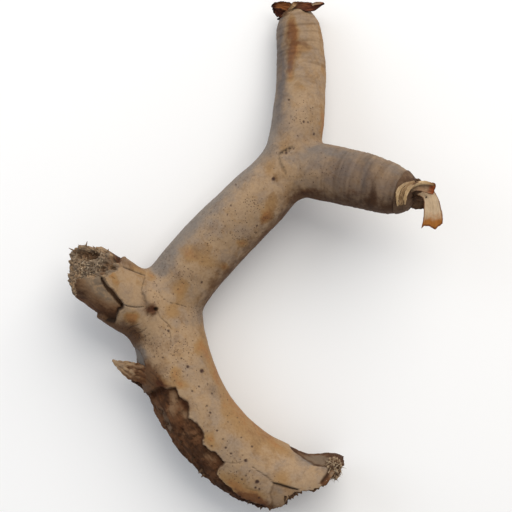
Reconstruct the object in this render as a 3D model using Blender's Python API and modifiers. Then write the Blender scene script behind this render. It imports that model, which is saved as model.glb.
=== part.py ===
"""Fallen branch of a thick-stemmed tree, lying on a flat surface.

The lower stem and the middle stem carry a broken stub and two young arms.
The branch rests on three worn flats: under its broken lower end, under the
first fork, and under the tip of the top arm. The side arm and the stub rise
clear of the surface. Dry leaf bases still clasp the tips of both arms.

Lengths are in millimetres and become metres where a mesh is made.
"""
import math
import random

import bmesh
import bpy
from mathutils import Matrix, Vector, noise
from mathutils.bvhtree import BVHTree

MM = 0.001
WELD = 1e-6  # metres
GAP = 0.3  # clear space between neighbouring pieces
CREASE_ROOM = 0.15  # a swollen skin comes closer than its distance along sharp edges

# Bark and wood.
BARK_THICKNESS = 3.0
SKIN_FULLNESS = 0.93  # a skinned and subdivided tube is this share of its frame's half-width
SMOOTHING_LEVELS = 2
UNEVENNESS = 0.7
UNEVEN_PITCH = 24.0

# Middle line of each limb: x, y, height of the line above the surface, radius.
TRUNK = [
    (87, -233, 30, 30.0), (56, -217, 30, 31.2), (24, -204, 30, 32.8), (-8, -191, 31, 34.0),
    (-38, -166, 34, 34.6), (-62, -133, 35, 34.8), (-74, -97, 32, 34.0), (-80, -68, 29, 32.3),
    (-82, -43, 27, 30.4), (-65, -19, 31, 29.4), (-45, 4, 36, 29.2), (-22, 28, 40, 28.8),
    (3, 52, 43, 28.2), (27, 76, 43, 24.8), (36, 104, 40, 23.4), (39, 130, 34, 23.4),
    (41, 156, 28, 22.7), (41, 180, 22, 21.8), (40, 198, 18, 20.4), (38, 212, 17, 17.4),
    (37, 221, 17, 11.0),
]
FIRST_FORK = 8  # station of the trunk that carries the stub
SECOND_FORK = 13  # station of the trunk that carries the side arm
SIDE_ARM = [
    (60, 76, 54, 26.2), (81, 70, 66, 25.0), (99, 65, 73, 24.7),
    (115, 60, 79, 23.4), (127, 56, 84, 20.2), (134, 54, 87, 13.5),
]
STUB = [
    (-103, -38, 37, 27.0), (-119, -30, 45, 27.0), (-134, -21, 53, 26.6), (-148, -12, 61, 26.1),
    (-162, -4, 68, 25.2),
]

# Seams at the forks: a point on the cut and the direction of the limb beyond it.
STUB_SEAM = ((-109, -38, 40), (-0.90, 0.32, 0.25))
MIDDLE_SEAM = ((-71, -26, 30), (0.65, 0.76, 0.06))
TOP_SEAM = ((36, 104, 40), (0.0, 1.0, 0.0))
SIDE_SEAM = ((52, 77, 52), (0.84, -0.12, 0.50))
REGION_SIZE = 420.0
ABOVE_BRANCH = 140.0
LOOK_DOWN_FROM = 300.0
SURFACE_SIZE = 700.0
SURFACE_DEPTH = 60.0

# Broken ends: a point on the break, the direction it faces, its roughness, its pit, its splinters.
# A pit is across, along, radius, depth. A splinter is across, along, radius, height.
STUB_BREAK = {
    "point": (-149, -9, 62),
    "facing": (-0.60, 0.30, 0.74),
    "size": 96.0,
    "steps": 15,
    "rough": 3.4,
    "seed": 11,
    "pit": (4.0, 0.0, 11.0, 9.0),
    "splinters": [
        (-16, 12, 5, 7), (13, 16, 5, 6), (-20, -4, 5, 5), (2, 21, 5, 7), (18, -10, 6, 5), (-6, -18, 5, 4),
    ],
}
LOWER_BREAK = {
    "point": (39, -210, 30),
    "facing": (0.46, -0.87, -0.16),
    "size": 150.0,
    "steps": 19,
    "rough": 3.0,
    "seed": 23,
    "pit": (6.0, 2.0, 12.0, 4.0),
    "splinters": [
        (-34, 14, 6, 7), (-24, 8, 6, 5), (30, 20, 6, 6), (18, -16, 7, 4), (-8, 22, 6, 4), (36, 2, 6, 5),
    ],
}

# Outlines seen from above inside which the bark has come away, with the height where the loss starts.
PEELED_STRIP = {
    "from_height": 9.0,
    "outline": [
        (-94, -80), (-91, -93), (-87, -105), (-76, -119), (-72, -119), (-61, -129), (-59, -142),
        (-48, -164), (-40, -178), (-28, -187), (-35, -191), (-25, -200), (-14, -218), (-4, -240),
        (-80, -240), (-150, -150), (-150, -84),
    ],
}
STUB_PEEL = {
    "from_height": 4.0,
    "outline": [
        (-122, 16), (-122, -5), (-136, -14), (-135, -23), (-130, -31), (-120, -43), (-122, -49), (-126, -59),
        (-134, -68), (-190, -60), (-200, 16),
    ],
}
TORN_END = {
    "from_height": -4.0,
    "outline": [
        (24, -164), (30, -174), (42, -181), (54, -185), (62, -188), (64, -196), (70, -212), (110, -212),
        (110, -160),
    ],
}

# Cracks through the bark, seen from above, with their half-width.
CRACKS = [
    (1.1, [(-130, -31), (-120, -42), (-109, -45), (-99, -45)]),
    (1.0, [(-88, -47), (-84, -55), (-79, -60), (-76, -64)]),
    (0.9, [(-101, -12), (-102, -26), (-100, -40), (-96, -48)]),
    (1.2, [(-2, -188), (9, -196), (16, -203), (30, -208), (37, -208)]),
]
CRACK_STEPS = 3  # stretches that each side of a crack's path is split into
KNOT_PIT = ((-89, -47), 4.2)

# Ring scars left by old leaves: distance back from the arm's last station, and depth.
TOP_RINGS = [(10, 0.8), (18, 0.9), (26, 0.7), (37, 0.8), (49, 0.6)]
SIDE_RINGS = [(8, 0.9), (15, 0.8), (24, 0.9), (37, 0.8), (50, 0.7), (68, 0.5)]
RING_HALF_WIDTH = 1.5
RING_REACH = 42.0

# A loose tongue of bark that stands out from the edge of the peeled strip.
FLAKE = {
    "outline": [(-128, -93), (-98, -95), (-92, -101), (-93, -116), (-101, -114), (-110, -112), (-119, -105)],
    "thickness": 2.2,
    "height": 40.0,
    "tilt": math.radians(9.0),
}

LEAF_THICKNESS = 1.3
LEAF_STRIPS = 4  # faces across a leaf base
# Papery leaf bases: stations along each one with x, y, height, half-width, roll in degrees and cupping.
LEAVES = {
    "tip_leaf_left": [
        (36, 216, 17, 6.0, -8, 0.10), (31, 220, 17, 8.5, -14, 0.16), (25, 223, 15, 8.5, -24, 0.24),
        (20, 226, 12, 7.0, -34, 0.34), (16, 226, 8, 4.0, -44, 0.40),
    ],
    "tip_leaf_middle": [
        (36, 219, 25, 4.0, 0, 0.12), (35, 223, 25, 5.0, 4, 0.16), (35, 226, 23, 4.6, 8, 0.20),
        (34, 228, 20, 2.4, 10, 0.24),
    ],
    "tip_leaf_right": [
        (41, 220, 19, 4.0, 8, 0.14), (46, 223, 19, 5.4, 18, 0.20), (51, 225, 18, 5.0, 26, 0.30),
        (57, 227, 17, 3.4, 30, 0.34), (61, 229, 19, 1.6, 24, 0.30),
    ],
    "side_leaf_curl": [
        (136, 57, 93, 6.0, -30, 0.20), (142, 59, 96, 7.6, -36, 0.34), (148, 60, 98, 8.2, -44, 0.50),
        (153, 60, 97, 6.4, -52, 0.60),
    ],
    "side_leaf_strap": [
        (138, 50, 86, 7.0, 10, 0.16), (146, 49, 85, 8.0, 16, 0.20), (153, 44, 83, 8.5, 22, 0.24),
        (158, 35, 80, 9.0, 26, 0.20), (159, 25, 77, 8.4, 22, 0.16),
    ],
}
COLLAR = {
    "sides": 16, "back": 9.0, "front": 9.0, "back_radius": 21.4, "front_radius": 17.4,
    "ragged": 4.5, "seed": 7,
}

COLOURS = {
    "lower_stem": (0.33, 0.23, 0.15),
    "broken_stub": (0.24, 0.18, 0.13),
    "middle_stem": (0.31, 0.22, 0.15),
    "top_arm": (0.32, 0.22, 0.14),
    "side_arm": (0.28, 0.21, 0.15),
    "bark_flake": (0.30, 0.20, 0.13),
    "side_collar": (0.52, 0.38, 0.24),
    "tip_leaf_left": (0.30, 0.13, 0.06),
    "tip_leaf_middle": (0.55, 0.40, 0.26),
    "tip_leaf_right": (0.18, 0.08, 0.05),
    "side_leaf_curl": (0.50, 0.30, 0.18),
    "side_leaf_strap": (0.62, 0.46, 0.30),
}
DRY_ROUGHNESS = 0.85
SHARP_ANGLE = math.radians(35.0)


def metres(point):
    """The point in metres, as a vector."""
    return Vector(point) * MM


def clear_scene():
    for item in list(bpy.data.objects):
        bpy.data.objects.remove(item)


def new_collection(name):
    group = bpy.data.collections.new(name)
    bpy.context.scene.collection.children.link(group)
    return group


def link_mesh(name, mesh, group):
    item = bpy.data.objects.new(name, mesh)
    group.objects.link(item)
    return item


def material_for(name):
    material = bpy.data.materials.new(name)
    material.use_nodes = True
    shader = material.node_tree.nodes["Principled BSDF"]
    shader.inputs["Base Color"].default_value = (*COLOURS[name], 1.0)
    shader.inputs["Roughness"].default_value = DRY_ROUGHNESS
    shader.inputs["Metallic"].default_value = 0.0
    return material


def evaluated_mesh(item):
    """The mesh of an object with its modifiers worked out."""
    graph = bpy.context.evaluated_depsgraph_get()
    return bpy.data.meshes.new_from_object(item.evaluated_get(graph))


def branch_mesh(offset):
    """The whole branch as one closed skin, its radii changed by the offset."""
    points, edges, radii = [], [], []
    for stations, fork in ((TRUNK, None), (SIDE_ARM, SECOND_FORK), (STUB, FIRST_FORK)):
        previous = fork
        for x, y, z, radius in stations:
            if previous is not None:
                edges.append((previous, len(points)))
            previous = len(points)
            points.append(metres((x, y, z)))
            radii.append((radius + offset) / SKIN_FULLNESS * MM)
    skeleton = bpy.data.meshes.new("skeleton")
    skeleton.from_pydata(points, edges, [])
    item = bpy.data.objects.new("skeleton", skeleton)
    bpy.context.scene.collection.objects.link(item)
    item.modifiers.new("Skin", "SKIN")
    frames = skeleton.skin_vertices[0].data
    for frame, radius in zip(frames, radii):
        frame.radius = (radius, radius)
    frames[FIRST_FORK].use_root = True
    smooth = item.modifiers.new("Smooth", "SUBSURF")
    smooth.levels = SMOOTHING_LEVELS
    smooth.render_levels = SMOOTHING_LEVELS
    mesh = evaluated_mesh(item)
    bpy.data.objects.remove(item)
    return mesh


def swell(mesh, distance):
    """Move each vertex outward along its normal."""
    normals = [v.normal.copy() for v in mesh.vertices]
    for vertex, normal in zip(mesh.vertices, normals):
        vertex.co += normal * distance * MM
    return mesh


def roughen(mesh, amount, pitch):
    """Move each vertex along its normal by smooth noise of the given pitch."""
    shifts = [noise.noise(v.co / (pitch * MM)) * amount * MM for v in mesh.vertices]
    normals = [v.normal.copy() for v in mesh.vertices]
    for vertex, normal, shift in zip(mesh.vertices, normals, shifts):
        vertex.co += normal * shift


def point_back_from_tip(stations, distance):
    """Point on a limb's middle line at a distance back from its last station, and the way it runs."""
    for near, far in zip(reversed(stations), reversed(stations[:-1])):
        start, end = Vector(near[:3]), Vector(far[:3])
        length = (end - start).length
        if distance <= length:
            return start.lerp(end, distance / length), (start - end).normalized()
        distance -= length
    raise ValueError("the ring lies past the end of the limb")


def cut_ring_scars(mesh, stations, rings):
    """Press a shallow groove round the limb at each ring."""
    shape = bmesh.new()
    shape.from_mesh(mesh)
    for distance, depth in rings:
        centre, along = point_back_from_tip(stations, distance)
        for step in (-RING_HALF_WIDTH, RING_HALF_WIDTH, 0.0):
            middle = (centre + along * step) * MM
            faces = [f for f in shape.faces if (f.calc_center_median() - middle).length < RING_REACH * MM]
            edges = list({edge for face in faces for edge in face.edges})
            corners = list({corner for face in faces for corner in face.verts})
            parts = faces + edges + corners
            cut = bmesh.ops.bisect_plane(shape, geom=parts, plane_co=middle, plane_no=along, dist=WELD)
        for part in cut["geom_cut"]:
            if isinstance(part, bmesh.types.BMVert):
                part.co += (centre * MM - part.co).normalized() * depth * MM
    shape.to_mesh(mesh)
    shape.free()


def as_cutter(item, group):
    """Hide an object that only shapes others."""
    for owner in list(item.users_collection):
        owner.objects.unlink(item)
    group.objects.link(item)
    item.hide_render = True
    item.display_type = "WIRE"
    return item


def region_box(name, seam, shift, group):
    """A large box that fills the space beyond a seam, its near face moved along by the shift."""
    point, facing = Vector(seam[0]), Vector(seam[1]).normalized()
    bpy.ops.mesh.primitive_cube_add(size=REGION_SIZE * MM)
    box = bpy.context.object
    box.name = name
    box.rotation_euler = facing.to_track_quat("Z", "Y").to_euler()
    box.location = (point + facing * (REGION_SIZE / 2 + shift)) * MM
    return as_cutter(box, group)


def floor_box(group):
    """The space under the surface that the branch lies on."""
    bpy.ops.mesh.primitive_cube_add(size=1.0, location=metres((0, 0, -SURFACE_DEPTH / 2)))
    box = bpy.context.object
    box.name = "below_surface"
    box.scale = metres((SURFACE_SIZE, SURFACE_SIZE, SURFACE_DEPTH))
    return as_cutter(box, group)


def break_cutter(name, spec, group):
    """A block with a jagged underside that breaks off all that lies beyond it."""
    rng = random.Random(spec["seed"])
    shape = bmesh.new()
    steps, half_size = spec["steps"], spec["size"] / 2
    bmesh.ops.create_grid(shape, x_segments=steps, y_segments=steps, size=half_size * MM)
    for vertex in shape.verts:
        across, along = vertex.co.x / MM, vertex.co.y / MM
        height = rng.uniform(-1.0, 1.0) * spec["rough"]
        pit_across, pit_along, pit_radius, pit_depth = spec["pit"]
        from_pit = math.hypot(across - pit_across, along - pit_along)
        height -= pit_depth * max(0.0, 1.0 - from_pit / pit_radius)
        for tip_across, tip_along, radius, rise in spec["splinters"]:
            from_tip = math.hypot(across - tip_across, along - tip_along)
            height += rise * max(0.0, 1.0 - from_tip / radius)
        vertex.co.z = height * MM
    mesh = bpy.data.meshes.new(name)
    shape.to_mesh(mesh)
    shape.free()
    facing = Vector(spec["facing"]).normalized()
    place = Matrix.Translation(metres(spec["point"])) @ facing.to_track_quat("Z", "Y").to_matrix().to_4x4()
    mesh.transform(place)
    cutter = link_mesh(name, mesh, group)
    block = cutter.modifiers.new("Block", "SOLIDIFY")
    block.thickness = spec["size"] * MM
    block.offset = 1.0
    return as_cutter(cutter, group)


def welded_mesh(curve):
    """The closed mesh of a curve, its caps welded on and its faces outward."""
    drawn = bpy.data.objects.new(curve.name, curve)
    bpy.context.scene.collection.objects.link(drawn)
    mesh = evaluated_mesh(drawn)
    bpy.data.objects.remove(drawn)
    shape = bmesh.new()
    shape.from_mesh(mesh)
    bmesh.ops.remove_doubles(shape, verts=shape.verts, dist=WELD)
    bmesh.ops.recalc_face_normals(shape, faces=shape.faces)
    shape.to_mesh(mesh)
    shape.free()
    return mesh


def height_on(surface, x, y):
    """The point of the bark straight below a place high above the branch."""
    return surface.ray_cast(metres((x, y, LOOK_DOWN_FROM)), Vector((0, 0, -1)))[0]


def outline_prism(name, outline, low, high, group):
    """A closed prism over a plan outline, between two heights."""
    curve = bpy.data.curves.new(name, "CURVE")
    curve.dimensions = "2D"
    curve.fill_mode = "BOTH"
    curve.extrude = (high - low) / 2 * MM
    spline = curve.splines.new("POLY")
    spline.points.add(len(outline) - 1)
    for point, (x, y) in zip(spline.points, outline):
        point.co = (x * MM, y * MM, 0.0, 1.0)
    spline.use_cyclic_u = True
    mesh = welded_mesh(curve)
    mesh.transform(Matrix.Translation((0, 0, (low + high) / 2 * MM)))
    return link_mesh(name, mesh, group)


def boolean(item, operation, cutter):
    modifier = item.modifiers.new(cutter.name, "BOOLEAN")
    modifier.operation = operation
    modifier.solver = "EXACT"
    modifier.object = cutter


def bark_loss(name, spec, core, group):
    """What the bark loses inside an outline: the prism less the wood under the bark."""
    prism = outline_prism(name, spec["outline"], spec["from_height"], ABOVE_BRANCH, group)
    boolean(prism, "DIFFERENCE", core)
    return as_cutter(prism, group)


def crack_cutter(name, half_width, path, surface, group):
    """A thin tube that follows the bark along a path seen from above."""
    stretched = []
    for start, end in zip(path, path[1:]):
        for step in range(CRACK_STEPS):
            share = step / CRACK_STEPS
            stretched.append((start[0] + (end[0] - start[0]) * share, start[1] + (end[1] - start[1]) * share))
    stretched.append(path[-1])
    curve = bpy.data.curves.new(name, "CURVE")
    curve.dimensions = "3D"
    curve.bevel_depth = half_width * MM
    curve.bevel_resolution = 1
    curve.use_fill_caps = True
    spline = curve.splines.new("POLY")
    spline.points.add(len(stretched) - 1)
    for point, (x, y) in zip(spline.points, stretched):
        point.co = (*height_on(surface, x, y), 1.0)
    return as_cutter(link_mesh(name, welded_mesh(curve), group), group)


def knot_cutter(surface, group):
    """A small round pit at the scar in the first fork."""
    (x, y), radius = KNOT_PIT
    place = height_on(surface, x, y)
    bpy.ops.mesh.primitive_ico_sphere_add(subdivisions=2, radius=radius * MM, location=place)
    ball = bpy.context.object
    ball.name = "knot_pit"
    return as_cutter(ball, group)


def leaf_sheet(name, stations, group):
    """A cupped strip carried along its stations, given a thickness and smoothed."""
    shape = bmesh.new()
    rows = []
    last = len(stations) - 1
    for index, (x, y, z, half_width, roll, cup) in enumerate(stations):
        before, after = stations[max(index - 1, 0)], stations[min(index + 1, last)]
        along = (Vector(after[:3]) - Vector(before[:3])).normalized()
        flat = along.cross(Vector((0, 0, 1))).normalized()
        side = Matrix.Rotation(math.radians(roll), 3, along) @ flat
        up = side.cross(along).normalized()
        row = []
        for step in range(LEAF_STRIPS + 1):
            share = 2.0 * step / LEAF_STRIPS - 1.0
            place = Vector((x, y, z)) + side * half_width * share + up * half_width * cup * share * share
            row.append(shape.verts.new(place * MM))
        rows.append(row)
    for lower, upper in zip(rows, rows[1:]):
        for step in range(LEAF_STRIPS):
            shape.faces.new((lower[step], lower[step + 1], upper[step + 1], upper[step]))
    bmesh.ops.recalc_face_normals(shape, faces=shape.faces)
    mesh = bpy.data.meshes.new(name)
    shape.to_mesh(mesh)
    shape.free()
    leaf = link_mesh(name, mesh, group)
    thick = leaf.modifiers.new("Thickness", "SOLIDIFY")
    thick.thickness = LEAF_THICKNESS * MM
    thick.offset = 0.0
    smooth = leaf.modifiers.new("Smooth", "SUBSURF")
    smooth.levels = 1
    smooth.render_levels = 1
    return leaf


def sheath_collar(name, group):
    """A short ragged sleeve round the tip of the side arm."""
    rng = random.Random(COLLAR["seed"])
    centre, along = point_back_from_tip(SIDE_ARM, COLLAR["back"])
    shape = bmesh.new()
    bmesh.ops.create_cone(
        shape, cap_ends=False, segments=COLLAR["sides"], radius1=COLLAR["back_radius"] * MM,
        radius2=COLLAR["front_radius"] * MM, depth=(COLLAR["back"] + COLLAR["front"]) * MM)
    for vertex in shape.verts:
        if vertex.co.z > 0:
            vertex.co.z += rng.uniform(-1.0, 0.4) * COLLAR["ragged"] * MM
    mesh = bpy.data.meshes.new(name)
    shape.to_mesh(mesh)
    shape.free()
    place = Matrix.Translation((centre + along * COLLAR["back"] / 2) * MM)
    mesh.transform(place @ along.to_track_quat("Z", "Y").to_matrix().to_4x4())
    collar = link_mesh(name, mesh, group)
    wall = collar.modifiers.new("Wall", "SOLIDIFY")
    wall.thickness = LEAF_THICKNESS * MM
    wall.offset = 1.0
    return collar


def bark_tongue(name, group):
    """The loose flake: a flat outline, tilted down away from the stem."""
    half = FLAKE["thickness"] / 2
    tongue = outline_prism(name, FLAKE["outline"], -half, half, group)
    root = Vector((FLAKE["outline"][2][0], 0, 0))
    lift = Matrix.Translation(metres((0, 0, FLAKE["height"])))
    turn = Matrix.Rotation(-FLAKE["tilt"], 4, "Y")
    tongue.data.transform(lift @ Matrix.Translation(root * MM) @ turn @ Matrix.Translation(-root * MM))
    return tongue


def centre_footprint(solids, cutters):
    """Slide everything along the surface until the origin is under the middle of the solids."""
    corners = []
    graph = bpy.context.evaluated_depsgraph_get()
    for item in solids.objects:
        corners += [item.matrix_world @ Vector(corner) for corner in item.evaluated_get(graph).bound_box]
    middle = [(min(c[axis] for c in corners) + max(c[axis] for c in corners)) / 2 for axis in (0, 1)]
    for item in list(solids.objects) + list(cutters.objects):
        item.location -= Vector((middle[0], middle[1], 0.0))


def shade(item):
    for face in item.data.polygons:
        face.use_smooth = True
    item.data.set_sharp_from_angle(angle=SHARP_ANGLE)
    item.data.materials.clear()
    item.data.materials.append(material_for(item.name))


def build():
    clear_scene()
    branch = new_collection("fallen_branch")
    cutters = new_collection("cutters")

    bark = branch_mesh(0.0)
    roughen(bark, UNEVENNESS, UNEVEN_PITCH)
    cut_ring_scars(bark, TRUNK, TOP_RINGS)
    cut_ring_scars(bark, SIDE_ARM, SIDE_RINGS)
    wood = as_cutter(link_mesh("wood_core", branch_mesh(-BARK_THICKNESS), cutters), cutters)
    room = GAP + CREASE_ROOM
    clearance = as_cutter(link_mesh("bark_clearance", swell(bark.copy(), room), cutters), cutters)
    wood_clearance = as_cutter(link_mesh("wood_clearance", swell(wood.data.copy(), room), cutters), cutters)

    source = bmesh.new()
    source.from_mesh(bark)
    surface = BVHTree.FromBMesh(source)
    source.free()

    below = floor_box(cutters)
    strip = bark_loss("peeled_strip", PEELED_STRIP, wood, cutters)
    stub_peel = bark_loss("stub_peel", STUB_PEEL, wood, cutters)
    torn_end = bark_loss("torn_end", TORN_END, wood, cutters)
    stub_break = break_cutter("stub_break", STUB_BREAK, cutters)
    lower_break = break_cutter("lower_break", LOWER_BREAK, cutters)
    cracks = [
        crack_cutter("crack_%d" % number, half_width, path, surface, cutters)
        for number, (half_width, path) in enumerate(CRACKS)
    ]
    knot = knot_cutter(surface, cutters)

    half_gap = GAP / 2
    beyond = {}
    for name, seam in (
            ("stub", STUB_SEAM), ("middle", MIDDLE_SEAM), ("top", TOP_SEAM), ("side", SIDE_SEAM)):
        beyond[name] = region_box(name + "_beyond", seam, half_gap, cutters)
        beyond[name + "_cleared"] = region_box(name + "_cleared", seam, -half_gap, cutters)

    limbs = {
        "lower_stem": [
            ("DIFFERENCE", beyond["middle_cleared"]), ("DIFFERENCE", beyond["stub_cleared"]),
            ("DIFFERENCE", lower_break), ("DIFFERENCE", strip), ("DIFFERENCE", torn_end),
            ("DIFFERENCE", cracks[1]), ("DIFFERENCE", cracks[3]), ("DIFFERENCE", knot),
            ("DIFFERENCE", below)],
        "broken_stub": [
            ("INTERSECT", beyond["stub"]), ("DIFFERENCE", beyond["middle_cleared"]),
            ("DIFFERENCE", stub_break), ("DIFFERENCE", stub_peel), ("DIFFERENCE", cracks[0]),
            ("DIFFERENCE", below)],
        "middle_stem": [
            ("INTERSECT", beyond["middle"]), ("DIFFERENCE", beyond["top_cleared"]),
            ("DIFFERENCE", beyond["side_cleared"])],
        "top_arm": [("INTERSECT", beyond["top"]), ("DIFFERENCE", below)],
        "side_arm": [("INTERSECT", beyond["side"]), ("DIFFERENCE", beyond["top_cleared"])],
    }
    for name, steps in limbs.items():
        limb = link_mesh(name, bark.copy(), branch)
        for operation, cutter in steps:
            boolean(limb, operation, cutter)
        shade(limb)

    flake = bark_tongue("bark_flake", branch)
    boolean(flake, "DIFFERENCE", wood_clearance)
    shade(flake)

    collar = sheath_collar("side_collar", branch)
    boolean(collar, "DIFFERENCE", clearance)
    shade(collar)

    for name, stations in LEAVES.items():
        leaf = leaf_sheet(name, stations, branch)
        boolean(leaf, "DIFFERENCE", clearance)
        shade(leaf)

    bpy.context.view_layer.update()
    centre_footprint(branch, cutters)
    bpy.context.view_layer.update()


build()
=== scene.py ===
import math

import bpy
import numpy as np
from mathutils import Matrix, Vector


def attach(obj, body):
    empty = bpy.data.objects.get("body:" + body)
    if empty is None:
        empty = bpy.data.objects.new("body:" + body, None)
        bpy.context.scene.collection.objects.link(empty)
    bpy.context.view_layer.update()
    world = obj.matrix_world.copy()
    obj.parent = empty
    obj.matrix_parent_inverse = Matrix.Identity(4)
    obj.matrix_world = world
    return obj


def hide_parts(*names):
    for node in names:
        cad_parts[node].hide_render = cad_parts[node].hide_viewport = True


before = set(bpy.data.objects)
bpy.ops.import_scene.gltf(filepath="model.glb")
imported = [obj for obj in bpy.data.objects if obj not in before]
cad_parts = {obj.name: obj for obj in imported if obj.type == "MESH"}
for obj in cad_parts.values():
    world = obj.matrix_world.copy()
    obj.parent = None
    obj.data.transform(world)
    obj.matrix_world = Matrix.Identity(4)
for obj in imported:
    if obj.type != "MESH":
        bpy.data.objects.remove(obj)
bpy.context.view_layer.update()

mm = 0.001
turn = 2 * np.pi
centring = np.array((1.085, 0.783, 0.0)) * mm  # how far the part's source moves the branch to centre it

# The photograph looks straight down. Marks on the branch are given by the pixel where they show in it.
photoView = {
    "height": 1.640,
    "lens": 125.0,
    "sensor": 36.0,
    "middle": tuple(centring[:2]),
    "imageSize": 512,
}
pixelsPerSlope = photoView["lens"] / photoView["sensor"] * photoView["imageSize"]


# The pixel a point shows at: its offset from the view's middle over its distance below the camera.
def photoPlace(points):
    depth = photoView["height"] - points[..., 2]
    across = (points[..., 0] - photoView["middle"][0]) / depth
    down = (photoView["middle"][1] - points[..., 1]) / depth
    return photoView["imageSize"] / 2 + pixelsPerSlope * np.stack([across, down], -1)


# The other way round: the point at this height that shows at a pixel.
def fromPhoto(px, py, height):
    scale = (photoView["height"] - height) / pixelsPerSlope
    half = photoView["imageSize"] / 2
    across, upwards = photoView["middle"]
    return np.stack([across + (px - half) * scale, upwards + (half - py) * scale, height + 0 * scale], -1)


noiseOrder = np.random.default_rng(5).permutation(256)
noiseSlopes = np.random.default_rng(6).normal(size=(256, 3))
noiseSlopes /= np.linalg.norm(noiseSlopes, axis=1)[:, None]


# Smooth noise from about -1 to 1: random slopes at the corners of cubes of this pitch, blended with a
# quintic fade.
def grain(points, pitch, seed=0):
    place = np.asarray(points, float).reshape(-1, 3) / pitch + 19.37 * seed
    corner = np.floor(place).astype(np.int64)
    inside = place - corner
    fade = inside ** 3 * (inside * (inside * 6 - 15) + 10)
    total = np.zeros(len(place))
    for dx in (0, 1):
        for dy in (0, 1):
            for dz in (0, 1):
                row = noiseOrder[(corner[:, 0] + dx) & 255]
                row = noiseOrder[(row + corner[:, 1] + dy) & 255]
                row = noiseOrder[(row + corner[:, 2] + dz) & 255]
                weight = np.abs(1 - np.array((dx, dy, dz)) - fade).prod(1)
                total += weight * (noiseSlopes[row] * (inside - (dx, dy, dz))).sum(1)
    return (1.7 * total).reshape(np.shape(points)[:-1])


# An S-curve from 0 at low to 1 at high: three squares less two cubes of the share between them.
def smoothStep(low, high, value):
    t = np.clip((value - low) / (high - low), 0, 1)
    return t * t * (3 - 2 * t)


# Distance from each pixel to the nearest side of a closed outline, negative inside it.
def outlineDistance(q, outline):
    corners = np.array(outline, float)
    nearest = np.full(q.shape[:-1], 1e9)
    inside = np.zeros(q.shape[:-1], bool)
    for a, b in zip(corners, np.roll(corners, -1, axis=0)):
        side, away = b - a, q - a
        t = np.clip((away @ side) / (side @ side), 0, 1)
        nearest = np.minimum(nearest, np.hypot(away[..., 0] - t * side[0], away[..., 1] - t * side[1]))
        crosses = (a[1] > q[..., 1]) != (b[1] > q[..., 1])
        level = a[0] + (q[..., 1] - a[1]) * side[0] / (side[1] if side[1] else 1e-9)
        inside ^= crosses & (q[..., 0] < level)
    return np.where(inside, -nearest, nearest)


# Distance from each pixel to a path, and how far along the path the nearest place is, from 0 to 1.
def pathDistance(q, path):
    corners = np.array(path, float)
    lengths = np.linalg.norm(np.diff(corners, axis=0), axis=1)
    starts = np.concatenate([[0], np.cumsum(lengths)])
    nearest = np.full(q.shape[:-1], 1e9)
    along = np.zeros(q.shape[:-1])
    for a, b, start, length in zip(corners[:-1], corners[1:], starts, lengths):
        side, away = b - a, q - a
        t = np.clip((away @ side) / (side @ side), 0, 1)
        gap = np.hypot(away[..., 0] - t * side[0], away[..., 1] - t * side[1])
        along = np.where(gap < nearest, (start + t * length) / starts[-1], along)
        nearest = np.minimum(nearest, gap)
    return nearest, along


# A uniform cubic B-spline of the stations: four neighbouring stations are blended with the cubic basis
# weights. The two ends are carried on in a straight line, so that the curve starts and ends at its end
# stations.
def splineOf(stations, count=1600):
    p = np.array(stations, float)
    p = np.vstack([2 * p[0] - p[1], p, 2 * p[-1] - p[-2]])
    t = np.linspace(0, len(stations) - 1, count)
    k = np.minimum(t.astype(int), len(stations) - 2)
    u = (t - k)[:, None]
    weights = (1 - u) ** 3, 3 * u ** 3 - 6 * u ** 2 + 4, -3 * u ** 3 + 3 * u ** 2 + 3 * u + 1, u ** 3
    return sum(w * p[k + n] for n, w in enumerate(weights)) / 6


# A limb's middle line by length: the spline of its stations, then a rounded tip whose radius falls as a
# quarter ellipse.
def middleLine(stations, tip=0.0):
    curve = splineOf(stations) * mm
    curve[:, :3] += centring
    if tip:
        reach = np.linspace(0, 1, 60)[1:, None]
        ahead = curve[-1, :3] - curve[-12, :3]
        ahead /= np.linalg.norm(ahead)
        dome = np.hstack([curve[-1, :3] + reach * tip * mm * ahead, curve[-1, 3] * np.sqrt(1 - reach ** 2)])
        curve = np.vstack([curve, dome])
    along = np.concatenate([[0], np.cumsum(np.linalg.norm(np.diff(curve[:, :3], axis=0), axis=1))])
    even = np.linspace(0, along[-1], 1500)
    curve = np.stack([np.interp(even, along, curve[:, k]) for k in range(4)], -1)
    heading = np.gradient(curve[:, :3], axis=0)
    heading /= np.linalg.norm(heading, axis=1)[:, None]
    return {
        "along": even, "centre": curve[:, :3], "radius": curve[:, 3], "heading": heading,
        "length": even[-1]}


# Points on a limb: the middle line at each length, plus its radius turned round the line by each angle.
# Angle 0 is level, to the right of the heading, and a quarter turn is on top.
def ringPoints(limb, along, angle, swell=0.0):
    def at(values):
        return np.stack([np.interp(along, limb["along"], values[:, k]) for k in range(3)], -1)
    heading = at(limb["heading"])
    level = np.cross(heading, (0, 0, 1))
    level /= np.linalg.norm(level, axis=-1)[..., None]
    upward = np.cross(level, heading)
    outward = np.cos(angle)[..., None] * level + np.sin(angle)[..., None] * upward
    radius = np.interp(along, limb["along"], limb["radius"]) + swell
    return at(limb["centre"]) + radius[..., None] * outward, outward


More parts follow.
